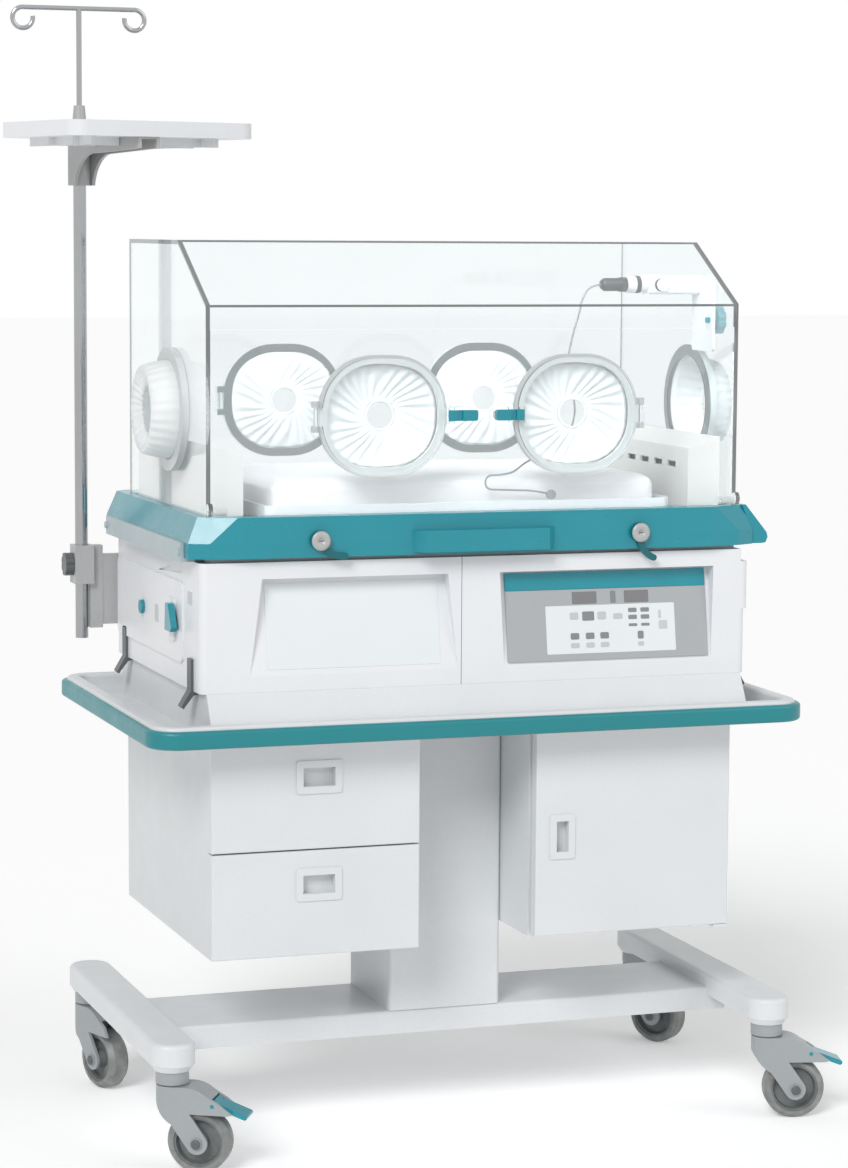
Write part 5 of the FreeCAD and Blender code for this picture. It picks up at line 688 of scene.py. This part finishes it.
def probe_cable():
    """The skin probe's lead: hangs from its plug, crosses the mattress and doubles back to the probe."""
    curve = bpy.data.curves.new("probe_lead", "CURVE")
    curve.dimensions = "3D"
    curve.bevel_depth = CABLE_DIAMETER / 2
    curve.bevel_resolution = 3
    curve.use_fill_caps = True
    line = curve.splines.new("NURBS")
    line.points.add(len(CABLE_ROUTE) - 1)
    for point, (x, y, z) in zip(line.points, CABLE_ROUTE):
        point.co = (x * MM, y * MM, z * MM, 1.0)
    line.order_u = 3
    line.use_endpoint_u = True
    line.resolution_u = 10
    piece = bpy.data.objects.new("probe_lead", curve)
    bpy.context.scene.collection.objects.link(piece)
    curve.materials.append(lead)
    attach(piece, "hood")
    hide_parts("probe_cable")


# Camera, floor and light


def camera():
    """The photograph's camera, solved from the edges of the housing, deck and cabinets."""
    yaw, pitch, roll = CAMERA_YAW, CAMERA_PITCH, CAMERA_ROLL
    forward = Vector((math.sin(yaw) * math.cos(pitch), math.cos(yaw) * math.cos(pitch), -math.sin(pitch)))
    level = Vector((math.cos(yaw), -math.sin(yaw), 0.0))
    upright = level.cross(forward)
    right = level * math.cos(roll) + upright * math.sin(roll)
    up = upright * math.cos(roll) - level * math.sin(roll)
    turn = Matrix((right, up, -forward)).transposed()
    data = bpy.data.cameras.new("camera")
    data.sensor_fit = "HORIZONTAL"
    data.sensor_width = SENSOR_MM
    data.lens = FOCAL_PIXELS / PHOTO_WIDTH * SENSOR_MM
    data.clip_end = 100.0
    view = bpy.data.objects.new("camera", data)
    view.matrix_world = Matrix.Translation(CAMERA_PLACE) @ turn.to_4x4()
    bpy.context.scene.collection.objects.link(view)
    bpy.context.scene.camera = view


def lamp(name, direction, strength, softness):
    data = bpy.data.lights.new(name, "SUN")
    data.energy = strength
    data.angle = math.radians(softness)
    sun = bpy.data.objects.new(name, data)
    sun.rotation_euler = Vector(direction).to_track_quat("Z", "Y").to_euler()
    bpy.context.scene.collection.objects.link(sun)


def surroundings():
    """A white backdrop for what the camera, glass and metal see, and a plain even light for the rest."""
    world = bpy.data.worlds.new("studio")
    bpy.context.scene.world = world
    world.use_nodes = True
    tree = world.node_tree
    background = tree.nodes["Background"]
    path = tree.nodes.new("ShaderNodeLightPath")
    seen = path.outputs["Is Camera Ray"]
    for name in ("Is Glossy Ray", "Is Transmission Ray"):
        either = tree.nodes.new("ShaderNodeMath")
        either.operation = "MAXIMUM"
        tree.links.new(seen, either.inputs[0])
        tree.links.new(path.outputs[name], either.inputs[1])
        seen = either.outputs[0]
    strength = tree.nodes.new("ShaderNodeMapRange")
    strength.inputs["To Min"].default_value = AMBIENT
    strength.inputs["To Max"].default_value = 1.0
    tree.links.new(seen, strength.inputs["Value"])
    background.inputs["Color"].default_value = (1.0, 1.0, 1.0, 1.0)
    tree.links.new(strength.outputs["Result"], background.inputs["Strength"])


def floor():
    bm = bmesh.new()
    for x, y in ((-1, -1), (1, -1), (1, 1), (-1, 1)):
        bm.verts.new((x * FLOOR_HALF, y * FLOOR_HALF, 0.0))
    bm.faces.new(bm.verts)
    mesh = bpy.data.meshes.new("floor")
    bm.to_mesh(mesh)
    bm.free()
    piece = bpy.data.objects.new("floor", mesh)
    bpy.context.scene.collection.objects.link(piece)
    recipe = Recipe("floor_white")
    recipe.colour(recipe.blend(recipe.noise(2.0), (0.93, 0.93, 0.93, 1.0), (0.95, 0.95, 0.95, 1.0)))
    recipe.set(Roughness=0.9, Specular_IOR_Level=0.0, Emission_Color=(1.0, 1.0, 1.0, 1.0),
               Emission_Strength=FLOOR_GLOW)
    mesh.materials.append(recipe.material)


def cuffs():
    """The front door's two cuffs, the rear wall's two, and the sleeves of the end ports."""
    for index, x in enumerate(DOOR_PORTS):
        cuff = iris("door_cuff_%d" % index, x, HOOD_FRONT, 1, PORT_LEVEL, "access_door")
        if index == 0:
            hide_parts("door_cuffs")
    for index, x in enumerate(REAR_PORTS):
        iris("rear_cuff_%d" % index, x, HOOD_REAR, -1, PORT_LEVEL, "hood")
    for side in (-1, 1):
        tube = sleeve(side)
        if side < 0:
            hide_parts("hood_cuffs")


camera()
probe_cable()
dress()
control_panel()
label_plate()
small_plates()
catch_heads()
axle_caps()
hinge_screws()
sensor_eye_and_plug()
cuffs()
mattress_pad()
floor()
lamp("key", *KEY)
lamp("fill", *FILL)
surroundings()
